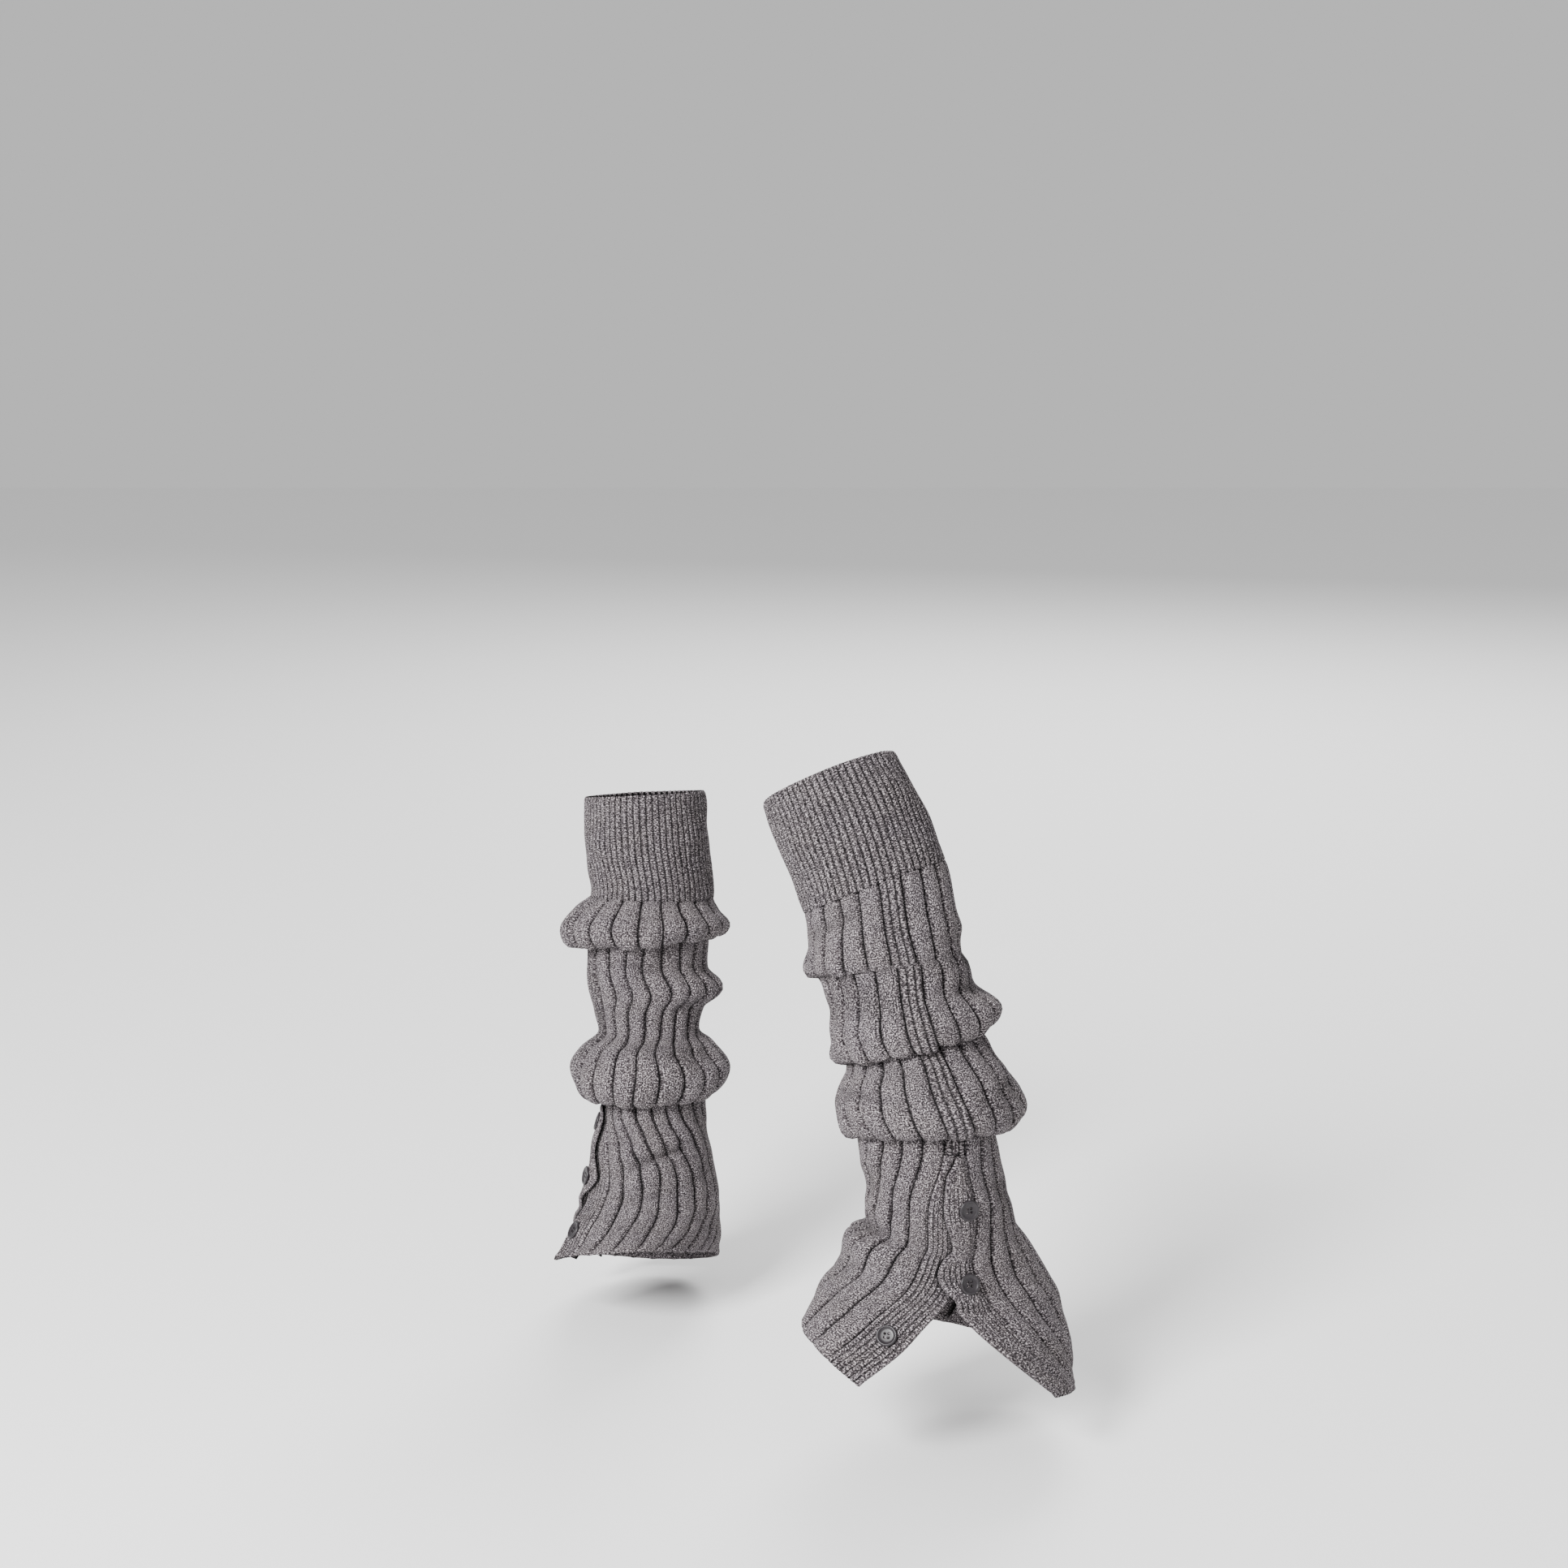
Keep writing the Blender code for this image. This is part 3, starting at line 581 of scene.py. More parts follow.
def stitch_group():
    """Height of the stitches, and a value that differs from one stitch's leg to the next."""
    inputs = [("Stitch map", "NodeSocketVector", None), ("Slant", "NodeSocketFloat", STITCH_SLANT)]
    outputs = [("Height", "NodeSocketFloat"), ("Leg value", "NodeSocketFloat")]
    group, given, made = new_group("knit stitches", inputs, outputs)
    split = group.nodes.new("ShaderNodeSeparateXYZ")
    group.links.new(split.inputs[0], given.outputs["Stitch map"])
    across, down = split.outputs[0], split.outputs[1]
    from_middle = maths(group, "SUBTRACT", maths(group, "FRACT", across), 0.5)
    from_middle = maths(group, "MULTIPLY", maths(group, "ABSOLUTE", from_middle), 2.0)
    slid = maths(group, "ADD", down, maths(group, "MULTIPLY", from_middle, given.outputs["Slant"]))
    side = maths(group, "SUBTRACT", maths(group, "MULTIPLY", from_middle, 2.0), 1.0)
    strand = arched(group, side)
    part = maths(group, "SUBTRACT", maths(group, "MULTIPLY", maths(group, "FRACT", slid), 2.0), 1.0)
    bow = arched(group, part)
    group.links.new(made.inputs["Height"], maths(group, "MULTIPLY", strand, bow))
    cell = group.nodes.new("ShaderNodeCombineXYZ")
    joined(group, cell.inputs[0], maths(group, "FLOOR", maths(group, "MULTIPLY", across, 2.0)))
    joined(group, cell.inputs[1], maths(group, "FLOOR", slid))
    white = group.nodes.new("ShaderNodeTexWhiteNoise")
    white.noise_dimensions = "2D"
    group.links.new(white.inputs["Vector"], cell.outputs[0])
    group.links.new(made.inputs["Leg value"], white.outputs["Value"])
    return group


# %% The melange yarn
def melange_group():
    """Speckled colour of the carded fibres, with painted shade between the stitch legs and where the furrow
    value is painted.
    """
    inputs = [
        ("Stitch map", "NodeSocketVector", None), ("Leg value", "NodeSocketFloat", 0.5),
        ("Furrow", "NodeSocketFloat", 0.0), ("Height", "NodeSocketFloat", 0.5),
    ]
    outputs = [("Color", "NodeSocketColor"), ("Fleck", "NodeSocketFloat")]
    group, given, made = new_group("melange yarn", inputs, outputs)
    where = given.outputs["Stitch map"]
    fleck = noise(group, where, FLECK_SCALE, 1.0, 0.6, FIBRE_STRETCH)
    patch = noise(group, where, PATCH_SCALE, 2.0, 0.5, FIBRE_STRETCH)
    cloud = noise(group, where, CLOUD_SCALE, 2.0, 0.5)
    value = maths(group, "MULTIPLY", fleck, FINE_SHARE)
    value = maths(group, "MULTIPLY_ADD", patch, COARSE_SHARE, value)
    value = maths(group, "MULTIPLY_ADD", given.outputs["Leg value"], LEG_SHARE, value)
    ramp = group.nodes.new("ShaderNodeValToRGB")
    group.links.new(ramp.inputs[0], value)
    stops = ramp.color_ramp.elements
    stops[0].position, stops[0].color = DARK_AT, colour(DARK_FIBRE_AND_GAP_SHADE)
    stops[1].position, stops[1].color = PALE_AT, colour(FIBRE_PALE)
    middle = stops.new(GREY_AT)
    middle.color = colour(FIBRE_GREY)
    tint = mixed(group, cloud, colour(TINT_MAUVE), colour(TINT_BROWN))
    tinted = mixed(group, 1.0, ramp.outputs["Color"], tint, "MULTIPLY")
    # Painted shade: the colour between the stitch legs goes towards the dark fibre, and near black where
    # the furrow value is painted.
    gap_shade = maths(group, "MULTIPLY", maths(group, "SUBTRACT", 1.0, given.outputs["Height"]), STITCH_GAP_SHADE)
    gap_shaded = mixed(group, gap_shade, tinted, colour(DARK_FIBRE_AND_GAP_SHADE))
    darkest = mixed(group, 1.0, gap_shaded, colour(FURROW_SHADE), "MULTIPLY")
    shaded = mixed(group, given.outputs["Furrow"], gap_shaded, darkest)
    group.links.new(made.inputs["Color"], shaded)
    group.links.new(made.inputs["Fleck"], fleck)
    return group


# %% The knitted material
STITCHES = stitch_group()
MELANGE = melange_group()


def knit_material(name, bump):
    """Melange yarn in stocking stitch, matt and a little napped."""
    material = bpy.data.materials.new(name)
    material.use_nodes = True
    tree = material.node_tree
    shader = tree.nodes["Principled BSDF"]
    where = tree.nodes.new("ShaderNodeUVMap")
    where.uv_map = "stitches"
    # The furrow value on the points is painted shade.
    furrow = tree.nodes.new("ShaderNodeAttribute")
    furrow.attribute_name = "furrow"
    stitch = tree.nodes.new("ShaderNodeGroup")
    stitch.node_tree = STITCHES
    tree.links.new(stitch.inputs["Stitch map"], where.outputs[0])
    yarn = tree.nodes.new("ShaderNodeGroup")
    yarn.node_tree = MELANGE
    tree.links.new(yarn.inputs["Stitch map"], where.outputs[0])
    tree.links.new(yarn.inputs["Leg value"], stitch.outputs["Leg value"])
    tree.links.new(yarn.inputs["Height"], stitch.outputs["Height"])
    tree.links.new(yarn.inputs["Furrow"], furrow.outputs["Fac"])
    tree.links.new(shader.inputs["Base Color"], yarn.outputs["Color"])
    fuzz = maths(tree, "MULTIPLY", yarn.outputs["Fleck"], FLECK_BUMP)
    relief = maths(tree, "ADD", stitch.outputs["Height"], fuzz)
    bumped = tree.nodes.new("ShaderNodeBump")
    bumped.inputs["Strength"].default_value = 1.0
    bumped.inputs["Distance"].default_value = bump
    tree.links.new(bumped.inputs["Height"], relief)
    tree.links.new(shader.inputs["Normal"], bumped.outputs[0])
    shader.inputs["Roughness"].default_value = KNIT_ROUGHNESS
    shader.inputs["Specular IOR Level"].default_value = KNIT_SPECULAR
    shader.inputs["Sheen Weight"].default_value = SHEEN
    shader.inputs["Sheen Roughness"].default_value = SHEEN_ROUGHNESS
    shader.inputs["Sheen Tint"].default_value = colour(SHEEN_TINT)
    return material


KNIT = knit_material("melange knit", STITCH_BUMP)
print("finish:", KNIT.name)

# %% [markdown]
# ## Wrapping a flat piece
#
# A knitted piece starts as `create_grid`, a flat sheet with a column of points for each stop across a rib
# and a row for every few millimetres down. `wrapped` moves each point of the sheet to its place on the leg,
# keeps its stitch count in a UV map, and paints its share of painted shade as the `furrow` value: how deep
# it lies in a furrow, and the shade under lips, in creases and beside the upper band's edge. Solidify then
# gives the cloth its thickness, inwards, so both faces carry the ribs as real knitting does.

# %% Wrap a flat grid to the leg
CLOTH_THICK = 1.5


def wrapped(name, leg, columns, rows, ribs_at, stitches, relief, closed=False, kept=None):
    """A piece of knitting: a flat grid moved to the leg's shape.

    Columns are the grid's stops across and rows its distances down. Ribs_at gives each column's rib at a
    distance down, and relief gives the lift of each column and its share of painted shade, which is kept as
    the furrow value.
    """
    build = bmesh.new()
    bmesh.ops.create_grid(build, x_segments=len(columns) - 1, y_segments=len(rows) - 1, size=0.5)
    flat = build.loops.layers.uv.new("stitches")
    furrow = build.verts.layers.float.new("furrow")
    places = []
    painted_shades = []
    for down in rows:
        ribs = ribs_at(down)
        lift, depth = relief(down, ribs)
        places.append(leg.skin(down, ribs, lift) * MM)
        painted_shades.append(depth)
    spots = {}
    for vert in build.verts:
        i = round((vert.co.x + 0.5) * (len(columns) - 1))
        j = round((0.5 - vert.co.y) * (len(rows) - 1))
        spots[vert] = (i, j)
    for face in build.faces:
        for loop in face.loops:
            i, j = spots[loop.vert]
            loop[flat].uv = (stitches[i], rows[j] / COURSE)
    if kept is not None:
        centres = [(face, np.mean([spots[vert] for vert in face.verts], axis=0)) for face in build.faces]
        gone = [face for face, centre in centres if not kept(*centre)]
    for vert, (i, j) in spots.items():
        vert.co = places[j][i]
        vert[furrow] = painted_shades[j][i]
    if kept is not None:
        bmesh.ops.delete(build, geom=gone, context="FACES")
    if closed:
        bmesh.ops.remove_doubles(build, verts=build.verts, dist=1e-6)
    if leg.side < 0:
        bmesh.ops.reverse_faces(build, faces=build.faces)
    mesh = bpy.data.meshes.new(name)
    build.to_mesh(mesh)
    build.free()
    mesh.shade_smooth()
    mesh.materials.append(KNIT)
    thing = bpy.data.objects.new(name, mesh)
    bpy.context.scene.collection.objects.link(thing)
    wall = thing.modifiers.new("thickness", "SOLIDIFY")
    wall.thickness = CLOTH_THICK * MM
    wall.offset = -1.0
    print(name, len(mesh.polygons), "quads")
    return thing


def rows_between(leg, top, bottom, step):
    """Distances down the cloth: one at each ring, and more between them."""
    stops = [top] + [knot for knot in leg.knots if top + 1 < knot < bottom - 1] + [bottom]
    rows = [stops[0]]
    for start, end in zip(stops, stops[1:]):
        parts = max(1, round((end - start) / step))
        rows += [start + (end - start) * (part + 1) / parts for part in range(parts)]
    return rows


# %% Furrows
# The painted shade in a furrow has a flat dark core, this many times as wide as the furrow's relief.
FURROW_SHADE_CORE = 1.4
CROWN_POWER = 2.5


def furrow_at(distance, width, depth):
    """The lift and the furrow's share of painted shade at a distance from a purl column, in millimetres."""
    lift = -depth * np.exp(-((distance / width) ** 2))
    return lift, np.exp(-((distance / (FURROW_SHADE_CORE * width)) ** 4))


def crown(turn):
    """How far a rounded rib has dropped from its middle, as a share. Turn is counted from the furrow."""
    return (1 - 2 * np.abs(turn)) ** CROWN_POWER


def sheet_area(thing):
    """The area of a piece before it has its thickness, in square metres."""
    return sum(face.area for face in thing.data.polygons)


# %% [markdown]
# ## Cuffs
#
# The cuff is the stretched part that holds the leg warmer up: one knit, one purl, all the way round, so its
# furrows stand close together. Its rim is cast on and turns in a little.

# %% Cuffs
FINE_STOPS = (0.0, 0.14, 0.3, 0.5, 0.7, 0.86)
FINE_DEPTH = 1.7
FINE_WIDTH = 1.05
FINE_CROWN = 0.4
CUFF_ROWS = 1.8
EDGE_ROUND = 1.3
EDGE_TURN = 1.0


def rounded_edge(down, edge):
    """The cloth turns in by about a millimetre where it was cast on or bound off."""
    return -EDGE_TURN * math.exp(-(((down - edge) / EDGE_ROUND) ** 2))


def fine_relief(ribs, per_rib, pitch):
    """Fine ribs: per_rib of them to each wide rib of that pitch."""
    turn = (ribs * per_rib + 0.5) % 1.0 - 0.5
    lift, depth = furrow_at(turn * pitch / per_rib, FINE_WIDTH, FINE_DEPTH)
    return lift - FINE_CROWN * crown(turn), depth


def fine_columns(wide):
    """Where the grid's columns stand over so many wide ribs' worth of fine ribs."""
    return [(rib + stop) / FINE_RIBS_EACH for rib in range(wide * FINE_RIBS_EACH) for stop in FINE_STOPS]


def make_cuff(leg):
    columns = np.array(fine_columns(WIDE_RIBS) + [float(WIDE_RIBS)])
    bottom = leg.down_at["cuff end"] - SEAM_GAP / 2
    rows = rows_between(leg, 0, bottom, CUFF_ROWS)

    def relief(down, ribs):
        lift, depth = fine_relief(ribs, FINE_RIBS_EACH, RIB_PITCH)
        return CREST + lift + rounded_edge(down, 0) + 0.6 * rounded_edge(down, bottom), depth

    cuff = wrapped(
        leg.name + "_cuff_knit", leg, columns, rows, lambda down: columns, columns * STITCHES_EACH, relief,
        closed=True,
    )
    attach(cuff, "root")
    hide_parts(leg.name + "_cuff")
    print(cuff.name, "area", round(sheet_area(cuff), 4))
    return cuff


for leg in LEGS:
    make_cuff(leg)

# %% [markdown]
# ## Where the bands lie
#
# The vent's two bands overlap while it is closed. The upper one climbs over the lower, and its free edge
# waves: it is held out at each button and draws back between them. These rules place the bands, and they
# also say where the upper band's edge casts its painted shadow on the cloth under it.

# %% Rules for the bands
EDGE_SHADE = 1.0
EDGE_SHADE_WIDTH = 2.2


def button_down(leg, button):
    """How far down the cloth a button sits."""
    above, below = leg.down_at[button.above], leg.down_at[button.below]
    return above + button.share * (below - above)


def closed_share(leg, down):
    """One where the bands lie over each other, falling to nothing where the vent has opened."""
    return min(1.0, max(0.0, 1 + leg.overlap(down) / OVERLAP_FADE))


def overlap_lift(leg, down, ribs):
    """The upper band leaves its seam flush and climbs over the lower band while the vent is closed."""
    return OVERLAP_LIFT * closed_share(leg, down) * eased((ribs - WIDE_RIBS) / OVERLAP_CLIMB)


def band_reach(leg, down, start, length):
    """A band's width in ribs, narrow where it starts at the top of the vent."""
    below = down - leg.down_at["vent top"]
    return BAND_WIDTH * min(1.0, start + (1 - start) * below / length)


def band_wave(leg, down):
    """The upper band's free edge stands out at its buttons and draws back between them, in ribs."""
    first, second = (button_down(leg, button) for button in leg.buttons[:2])
    turns = (down - first) / (second - first)
    return -WAVE * closed_share(leg, down) * (1 - math.cos(2 * math.pi * turns)) / 2


def edge_shade(leg, down, ribs):
    """The shade that the upper band's free edge casts on what lies under it, as a share."""
    if down < leg.down_at["vent top"]:
        return np.zeros(len(ribs))
    _, arc, row = leg.ring(down)
    pitch = leg.spacing(arc, row)[1]
    reach = band_reach(leg, down, OVER_START, OVER_LENGTH) + band_wave(leg, down)
    edge = WIDE_RIBS + reach - arc[-1] / pitch
    off = (ribs - edge) * pitch / EDGE_SHADE_WIDTH
    return EDGE_SHADE * closed_share(leg, down) * np.exp(-off * off)


# %% [markdown]
# ## The slouched panels
#
# The leg's long panel hangs from the cuff and slouches. Its wide ribs are five knit stitches and a sunken
# purl column. Beside the seam run three fine ribs, down to the top of the vent. The furrows wander a
# little where the cloth is pushed together, and the hem rolls out as knitting does at a bound-off edge.

# %% Panels
WIDE_STOPS = (0.0, 0.04, 0.08, 0.13, 0.19, 0.29, 0.42, 0.58, 0.71, 0.81, 0.87, 0.92, 0.96)
WIDE_DEPTH = 3.2
WIDE_WIDTH = 1.6
WIDE_CROWN = 1.9
PANEL_ROWS = 2.6
WANDER = 0.05
WANDER_LONG = 17.0
WANDER_SHORT = 7.5
WANDER_FREE = 2.5
TUCK_SHADE = 0.8
TUCK_LENGTH = 4.5
TUCK_START = 2.0
TUCK_FULL = 6.0
SUNK_DEPTH = 6.0
SUNK_SHADE = 0.3
PUCKER = 0.9
PUCKER_LENGTH = 9.0
HEM_CURL = 2.2
HEM_LENGTH = 9.0
BOUND_OFF = 5.0
EDGE_BEAD = 0.5
BEAD_ABOVE = 2.0
BEAD_WIDTH = 1.2
STRIP_FURROW = 0.16


def wander(leg, down, ribs):
    """How far a furrow strays sideways, in ribs. It keeps to its place beside the seam and the bands."""
    free = eased((ribs - 1) / WANDER_FREE) * eased((WIDE_RIBS - ribs) / WANDER_FREE)
    long_wave = np.sin(down / WANDER_LONG + 1.9 * ribs)
    short_wave = np.sin(down / WANDER_SHORT - 1.1 * ribs + leg.side)
    return WANDER * free * (long_wave + 0.6 * short_wave)


def hem_lift(down, ribs, hem):
    """The bound-off hem rolls out, more in some places than in others, and ends in a bead."""
    near = max(0.0, (down - hem + HEM_LENGTH) / HEM_LENGTH)
    uneven = 0.55 + 0.45 * np.sin(1.3 * ribs + 0.8)
    bead = EDGE_BEAD * math.exp(-(((down - hem + BEAD_ABOVE) / BEAD_WIDTH) ** 2))
    return HEM_CURL * near * near * uneven + bead + 0.7 * rounded_edge(down, hem)


def tuck_shade(leg, down, ribs):
    """The shade in creases and under each lip, as a share. It is deepest where a lip stands out most."""
    shade = np.clip(-leg.pressed(down, ribs) / SUNK_DEPTH, 0, SUNK_SHADE)
    for lip, above in leg.down_at.items():
        tuck = leg.down_at.get(lip.replace("lip", "tuck"), above)
        near = math.exp(-(((down - tuck) / TUCK_LENGTH) ** 2))
        if tuck > above and near > 0.01:
            step = np.linalg.norm(leg.middle(above, ribs) - leg.middle(tuck, ribs), axis=1)
            shade = np.maximum(shade, TUCK_SHADE * near * np.clip((step - TUCK_START) / TUCK_FULL, 0, 1))
    return shade


def lip_puckers(leg, down, ribs):
    """How unevenly the ribs stand out along each fold's lip."""
    near = min(abs(down - at) for name, at in leg.down_at.items() if name.endswith("lip"))
    uneven = np.sin(2.1 * ribs + leg.side) + 0.7 * np.sin(4.3 * ribs + 0.5 * leg.side)
    return PUCKER * math.exp(-((near / PUCKER_LENGTH) ** 2)) * uneven


def make_panel(leg):
    wide = [rib + stop for rib in range(1, WIDE_RIBS) for stop in WIDE_STOPS]
    columns = np.array(fine_columns(1) + wide + [float(WIDE_RIBS)])
    top = leg.down_at["cuff end"] + SEAM_GAP / 2
    hem = leg.knots[-1]
    rows = rows_between(leg, top, hem, PANEL_ROWS)
    vent = leg.down_at["vent top"]

    def ribs_at(down):
        return columns + wander(leg, down, columns)

    def relief(down, ribs):
        _, arc, row = leg.ring(down)
        pitch = leg.spacing(arc, row)[1]
        turn = (columns + 0.5) % 1.0 - 0.5
        lift, depth = furrow_at(turn * pitch, WIDE_WIDTH, WIDE_DEPTH)
        lift = lift - WIDE_CROWN * crown(turn)
        fine_lift, fine_depth = fine_relief(columns, FINE_RIBS_EACH, pitch)
        in_strip = columns < 1
        beside = lift * (np.abs(turn) < STRIP_FURROW)
        lift = np.where(in_strip, np.minimum(beside, fine_lift), lift)
        bound_off = math.exp(-(((down - hem) / BOUND_OFF) ** 2))
        lift = lift * (1 - 0.75 * bound_off)
        depth = np.where(in_strip, np.maximum(depth, fine_depth), depth)
        depth = depth * (1 - bound_off)
        # Painted shade: the shadow of the upper band's edge, and the shade under each lip and in the
        # creases, go into the furrow value.
        shade = np.maximum(edge_shade(leg, down, columns), tuck_shade(leg, down, columns))
        depth = np.maximum(depth, shade)
        lift = lift + lip_puckers(leg, down, columns) + hem_lift(down, ribs, hem)
        return CREST + lift + 0.5 * rounded_edge(down, top), depth

    def kept(i, j):
        return columns[int(i)] >= 1 - 1e-6 or rows[int(j)] < vent - SEAM_GAP

    panel = wrapped(
        leg.name + "_leg_knit", leg, columns, rows, ribs_at, columns * STITCHES_EACH, relief,
        closed=True, kept=kept,
    )
    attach(panel, "root")
    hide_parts(leg.name + "_leg")
    print(panel.name, "area", round(sheet_area(panel), 4))
    return panel


for leg in LEGS:
    make_panel(leg)

# %% [markdown]
# ## Bands
#
# Two narrow ribbed bands edge the vent. The button band lies under, from the front edge, and the
# buttonhole band comes over it from the back edge, by the rules above. Each has seven fine ribs and a
# firm outer edge.

# %% Bands
BAND_STOPS = (0.0, 0.13, 0.26, 0.4, 0.5, 0.6, 0.74, 0.87)
BAND_FURROW = 0.7
BAND_DEPTH = 1.0
BAND_ROWS = 2.4
SELVEDGE = 0.7
SELVEDGE_WIDTH = 0.9
ROLL = 0.5
ROLL_IN = 1.6


def make_band(leg, over):
    stops = np.array([(rib + stop) / BAND_RIBS for rib in range(BAND_RIBS) for stop in BAND_STOPS] + [1.0])
    hem = leg.knots[-1]
    top = leg.down_at["vent top"] + SEAM_GAP
    rows = rows_between(leg, top, hem, BAND_ROWS)
    seam = SEAM_GAP / RIB_PITCH

    def ribs_at(down):
        if over:
            reach = band_reach(leg, down, OVER_START, OVER_LENGTH) + band_wave(leg, down)
            return WIDE_RIBS + seam + reach * stops
        return 1 - seam - band_reach(leg, down, UNDER_START, UNDER_LENGTH) * stops

    def relief(down, ribs):
        pitch = BAND_WIDTH * RIB_PITCH / BAND_RIBS
        turn = (stops * BAND_RIBS + 0.5) % 1.0 - 0.5
        lift, depth = furrow_at(turn * pitch, BAND_FURROW, BAND_DEPTH)
        free = (1 - stops) * BAND_WIDTH * RIB_PITCH
        rolled = ROLL * np.exp(-(((free - ROLL_IN) / SELVEDGE_WIDTH) ** 2))
        rolled = rolled - SELVEDGE * np.exp(-((free / SELVEDGE_WIDTH) ** 2))
        lift = lift * (free > 0.5) + rolled
        seam_drop = BAND_CREST - BAND_DEPTH - (CREST - WIDE_CROWN - WIDE_DEPTH)
        lift = lift - seam_drop * np.exp(-((stops * BAND_WIDTH * RIB_PITCH / BAND_FURROW) ** 2))
        lift = lift + hem_lift(down, ribs, hem) + 0.7 * rounded_edge(down, top)
        depth = depth * (free > 0.5)
        if over:
            lift = lift + overlap_lift(leg, down, ribs)
        else:
            # Painted shadow of the upper band's free edge on the lower band, kept in the furrow value.
            depth = np.maximum(depth, edge_shade(leg, down, ribs))
        return BAND_CREST + lift, depth

    name = leg.name + ("_buttonhole_band" if over else "_button_band")
    band = wrapped(name + "_knit", leg, stops, rows, ribs_at, stops * BAND_STITCHES, relief)
    if not over:
        band.data.flip_normals()
    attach(band, "root")
    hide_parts(name)
    print(band.name, "area", round(sheet_area(band), 4))
    return band


for leg in LEGS:
    for over in (False, True):
        make_band(leg, over)

# %% [markdown]
# ## Buttons
#
# Six resin buttons, all alike: a turned disc with a rolled rim, a dished face and four holes. The profile
# is spun, the holes are cut through, and each button is laid on the band it shows on. The cut shuffles its
# points from run to run, so they are sorted after it.

# %% Button sizes and finish
BUTTON_RADIUS = 7.5
BUTTON_THICK = 2.6
HOLE_RADIUS = 1.1
HOLE_SPACING = 1.95
BUTTON_CLEARANCE = 0.45
BUTTON_TURNS = 48
BUTTON_DARK = (0.010, 0.008, 0.010)
BUTTON_GREY = (0.030, 0.026, 0.029)
BUTTON_CLOUDS = 160.0
BUTTON_ROUGHNESS = 0.28
BUTTON_DULLER = 0.2
FASTENED = (1, 2)


def button_material():
    """Purple-grey resin with a faint cloud in it and a soft polish."""
    material = bpy.data.materials.new("button resin")
    material.use_nodes = True
    tree = material.node_tree
    shader = tree.nodes["Principled BSDF"]
    where = tree.nodes.new("ShaderNodeTexCoord")
    cloud = noise(tree, where.outputs["Object"], BUTTON_CLOUDS, 3.0, 0.6)
    clouded = mixed(tree, cloud, colour(BUTTON_DARK), colour(BUTTON_GREY))
    tree.links.new(shader.inputs["Base Color"], clouded)
    duller = maths(tree, "MULTIPLY", cloud, BUTTON_DULLER)
    tree.links.new(shader.inputs["Roughness"], maths(tree, "ADD", BUTTON_ROUGHNESS, duller))
    shader.inputs["Specular IOR Level"].default_value = 0.3
    shader.inputs["Coat Weight"].default_value = 0.05
    shader.inputs["Coat Roughness"].default_value = 0.2
    return material


BUTTON_RESIN = button_material()

# %% The turned button
BUTTON_PROFILE = (
    (0.0, 0.0), (0.72, 0.0), (0.88, 0.08), (0.97, 0.28), (1.0, 0.52), (0.985, 0.74), (0.94, 0.92),
    (0.88, 1.0), (0.82, 0.98), (0.76, 0.88), (0.70, 0.72), (0.62, 0.64), (0.5, 0.62), (0.0, 0.62),
)


def turned_button():
    """The blank disc, spun from half its outline."""
    build = bmesh.new()
    points = [Vector((r * BUTTON_RADIUS, 0, z * BUTTON_THICK)) * MM for r, z in BUTTON_PROFILE]
    verts = [build.verts.new(point) for point in points]
    lines = [build.edges.new(pair) for pair in zip(verts, verts[1:])]
    bmesh.ops.spin(
        build, geom=verts + lines, cent=(0, 0, 0), axis=(0, 0, 1), angle=2 * math.pi, steps=BUTTON_TURNS,
        use_merge=True,
    )
    bmesh.ops.remove_doubles(build, verts=build.verts, dist=1e-6)
    bmesh.ops.recalc_face_normals(build, faces=build.faces)
    mesh = bpy.data.meshes.new("button blank")
    build.to_mesh(mesh)
    build.free()
    return mesh


def pins():
    """Four pins that cut the holes."""
    build = bmesh.new()
    for turn in range(4):
        angle = math.radians(45 + 90 * turn)
        made = bmesh.ops.create_cone(
            build, cap_ends=True, segments=20, radius1=HOLE_RADIUS * MM, radius2=HOLE_RADIUS * MM,
            depth=4 * BUTTON_THICK * MM,
        )
        place = Vector((math.cos(angle), math.sin(angle), 0)) * HOLE_SPACING * MM
        bmesh.ops.translate(build, verts=made["verts"], vec=place)
    mesh = bpy.data.meshes.new("pins")
    build.to_mesh(mesh)
    build.free()
    return mesh


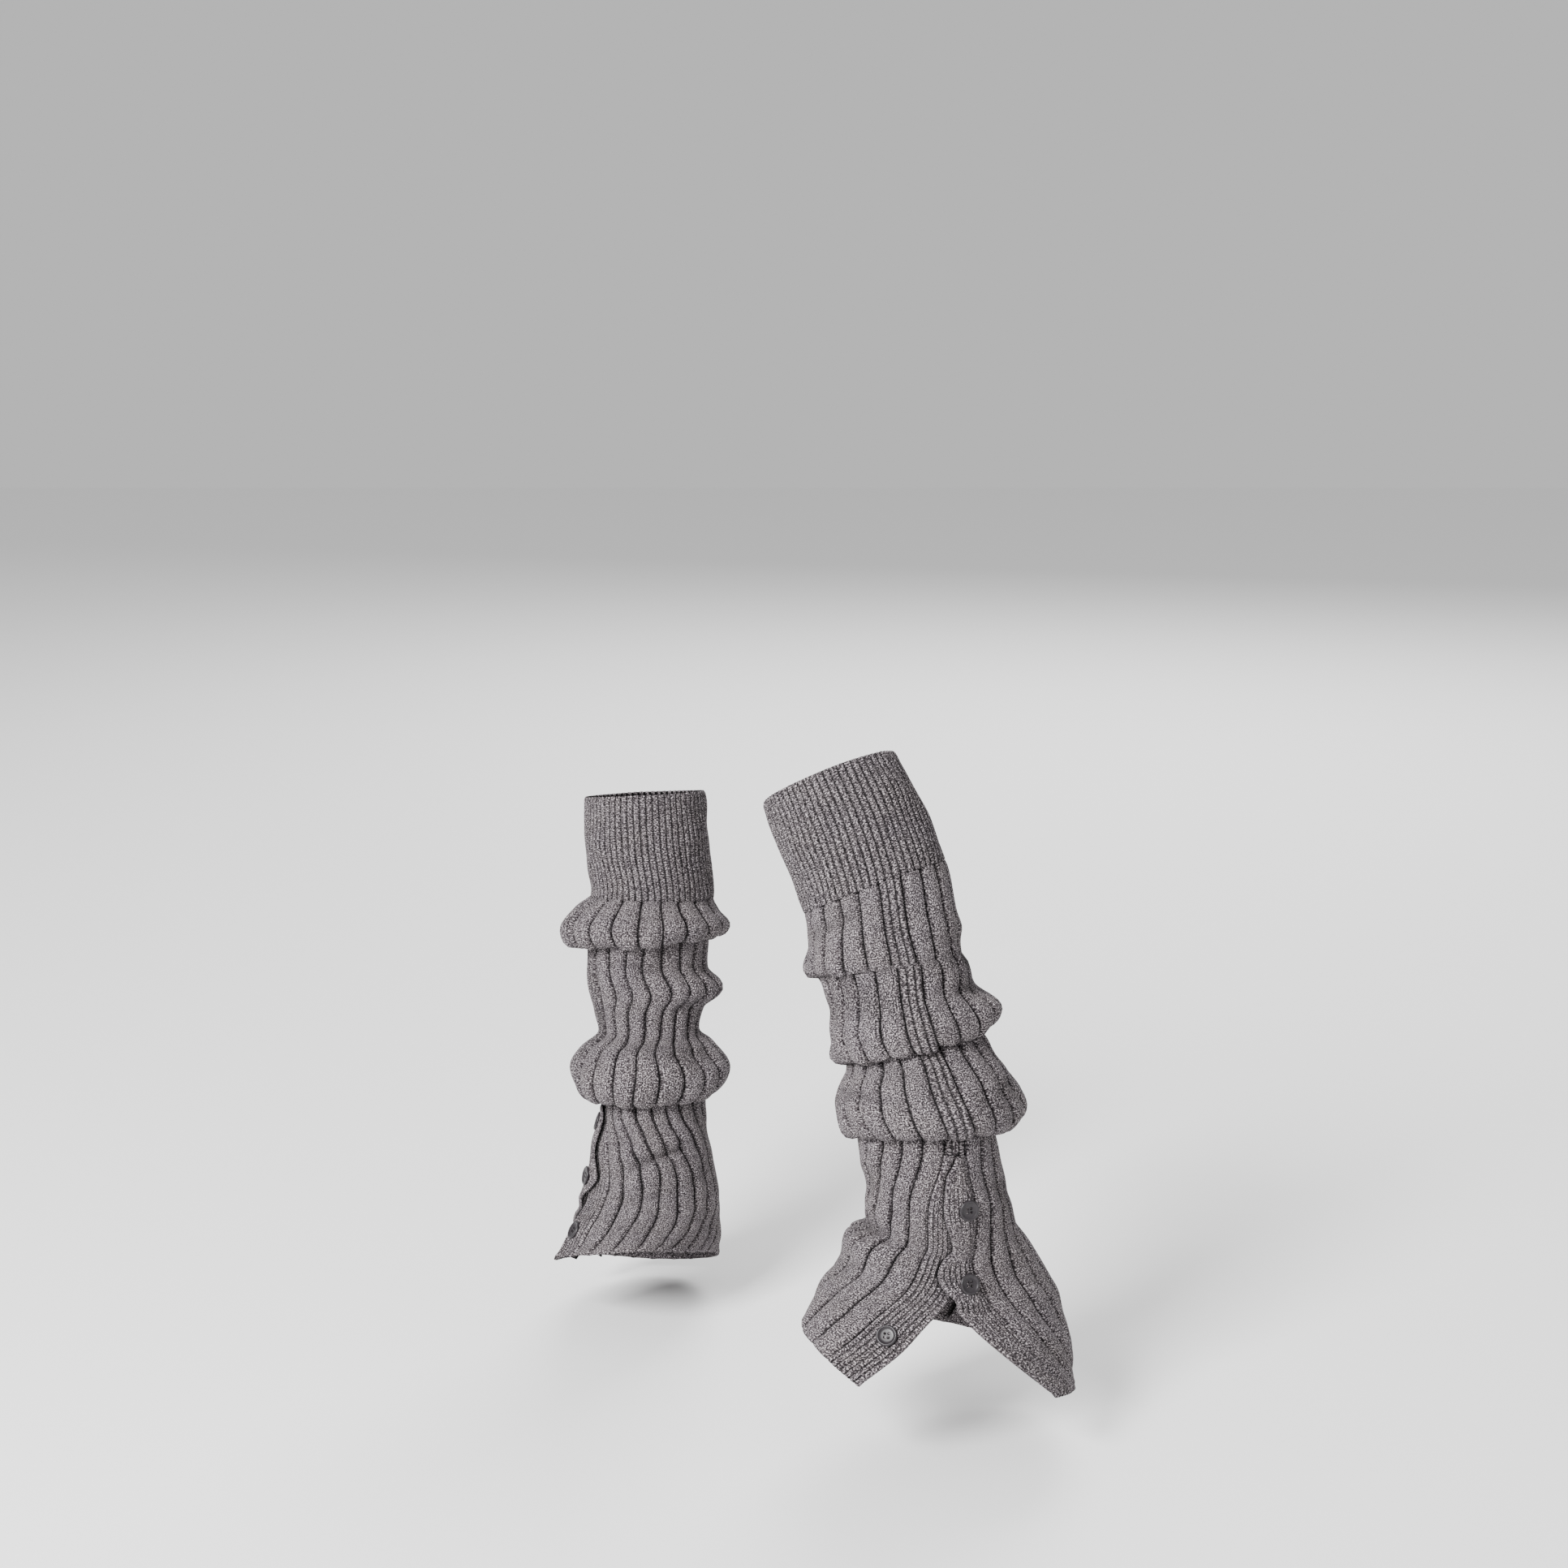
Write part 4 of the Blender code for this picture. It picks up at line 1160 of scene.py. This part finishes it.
def in_fixed_order(mesh):
    """Sorts a mesh. The cut gives the same points and faces each run, but shuffled."""
    build = bmesh.new()
    build.from_mesh(mesh)
    ranked = sorted(build.verts, key=lambda vert: tuple(vert.co))
    rank = {vert: place for place, vert in enumerate(ranked)}
    turns = []
    for face in build.faces:
        turn = [rank[vert] for vert in face.verts]
        first = turn.index(min(turn))
        turns.append(turn[first:] + turn[:first])
    points = [vert.co.copy() for vert in ranked]
    build.clear()
    verts = [build.verts.new(point) for point in points]
    for turn in sorted(turns):
        build.faces.new([verts[place] for place in turn])
    build.to_mesh(mesh)
    build.free()


def drilled_button():
    """The button's mesh with its holes cut."""
    blank = bpy.data.objects.new("button blank", turned_button())
    cutter = bpy.data.objects.new("pins", pins())
    for thing in (blank, cutter):
        bpy.context.scene.collection.objects.link(thing)
    cut = blank.modifiers.new("holes", "BOOLEAN")
    cut.operation = "DIFFERENCE"
    cut.solver = "EXACT"
    cut.object = cutter
    graph = bpy.context.evaluated_depsgraph_get()
    mesh = bpy.data.meshes.new_from_object(blank.evaluated_get(graph))
    for thing in (blank, cutter):
        bpy.data.objects.remove(thing)
    in_fixed_order(mesh)
    mesh.shade_smooth()
    mesh.set_sharp_from_angle(angle=math.radians(45))
    mesh.materials.append(BUTTON_RESIN)
    return mesh


DRILLED = drilled_button()
print("button", len(DRILLED.polygons), "faces")


# %% Sew the buttons on
def place_button(leg, button):
    down = button_down(leg, button)
    on_top = button.number in FASTENED
    rib = np.array([button.rib + (WIDE_RIBS if on_top else 0)])
    lift = BAND_CREST + BUTTON_CLEARANCE + (overlap_lift(leg, down, rib) if on_top else 0.0)
    centre = Vector(leg.skin(down, rib, lift + np.zeros(1))[0])
    under = Vector(leg.skin(down, rib, np.zeros(1))[0])
    turn = (centre - under).to_track_quat("Z", "Y").to_matrix().to_4x4()
    mesh = DRILLED.copy()
    mesh.transform(Matrix.Translation(centre * MM) @ turn)
    name = f"{leg.name}_button_{button.number}"
    thing = bpy.data.objects.new(name + "_resin", mesh)
    bpy.context.scene.collection.objects.link(thing)
    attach(thing, "root")
    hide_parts(name)
    return thing


for leg in LEGS:
    for button in leg.buttons:
        print(place_button(leg, button).name)

# %% Bring the scene up to date
bpy.context.view_layer.update()
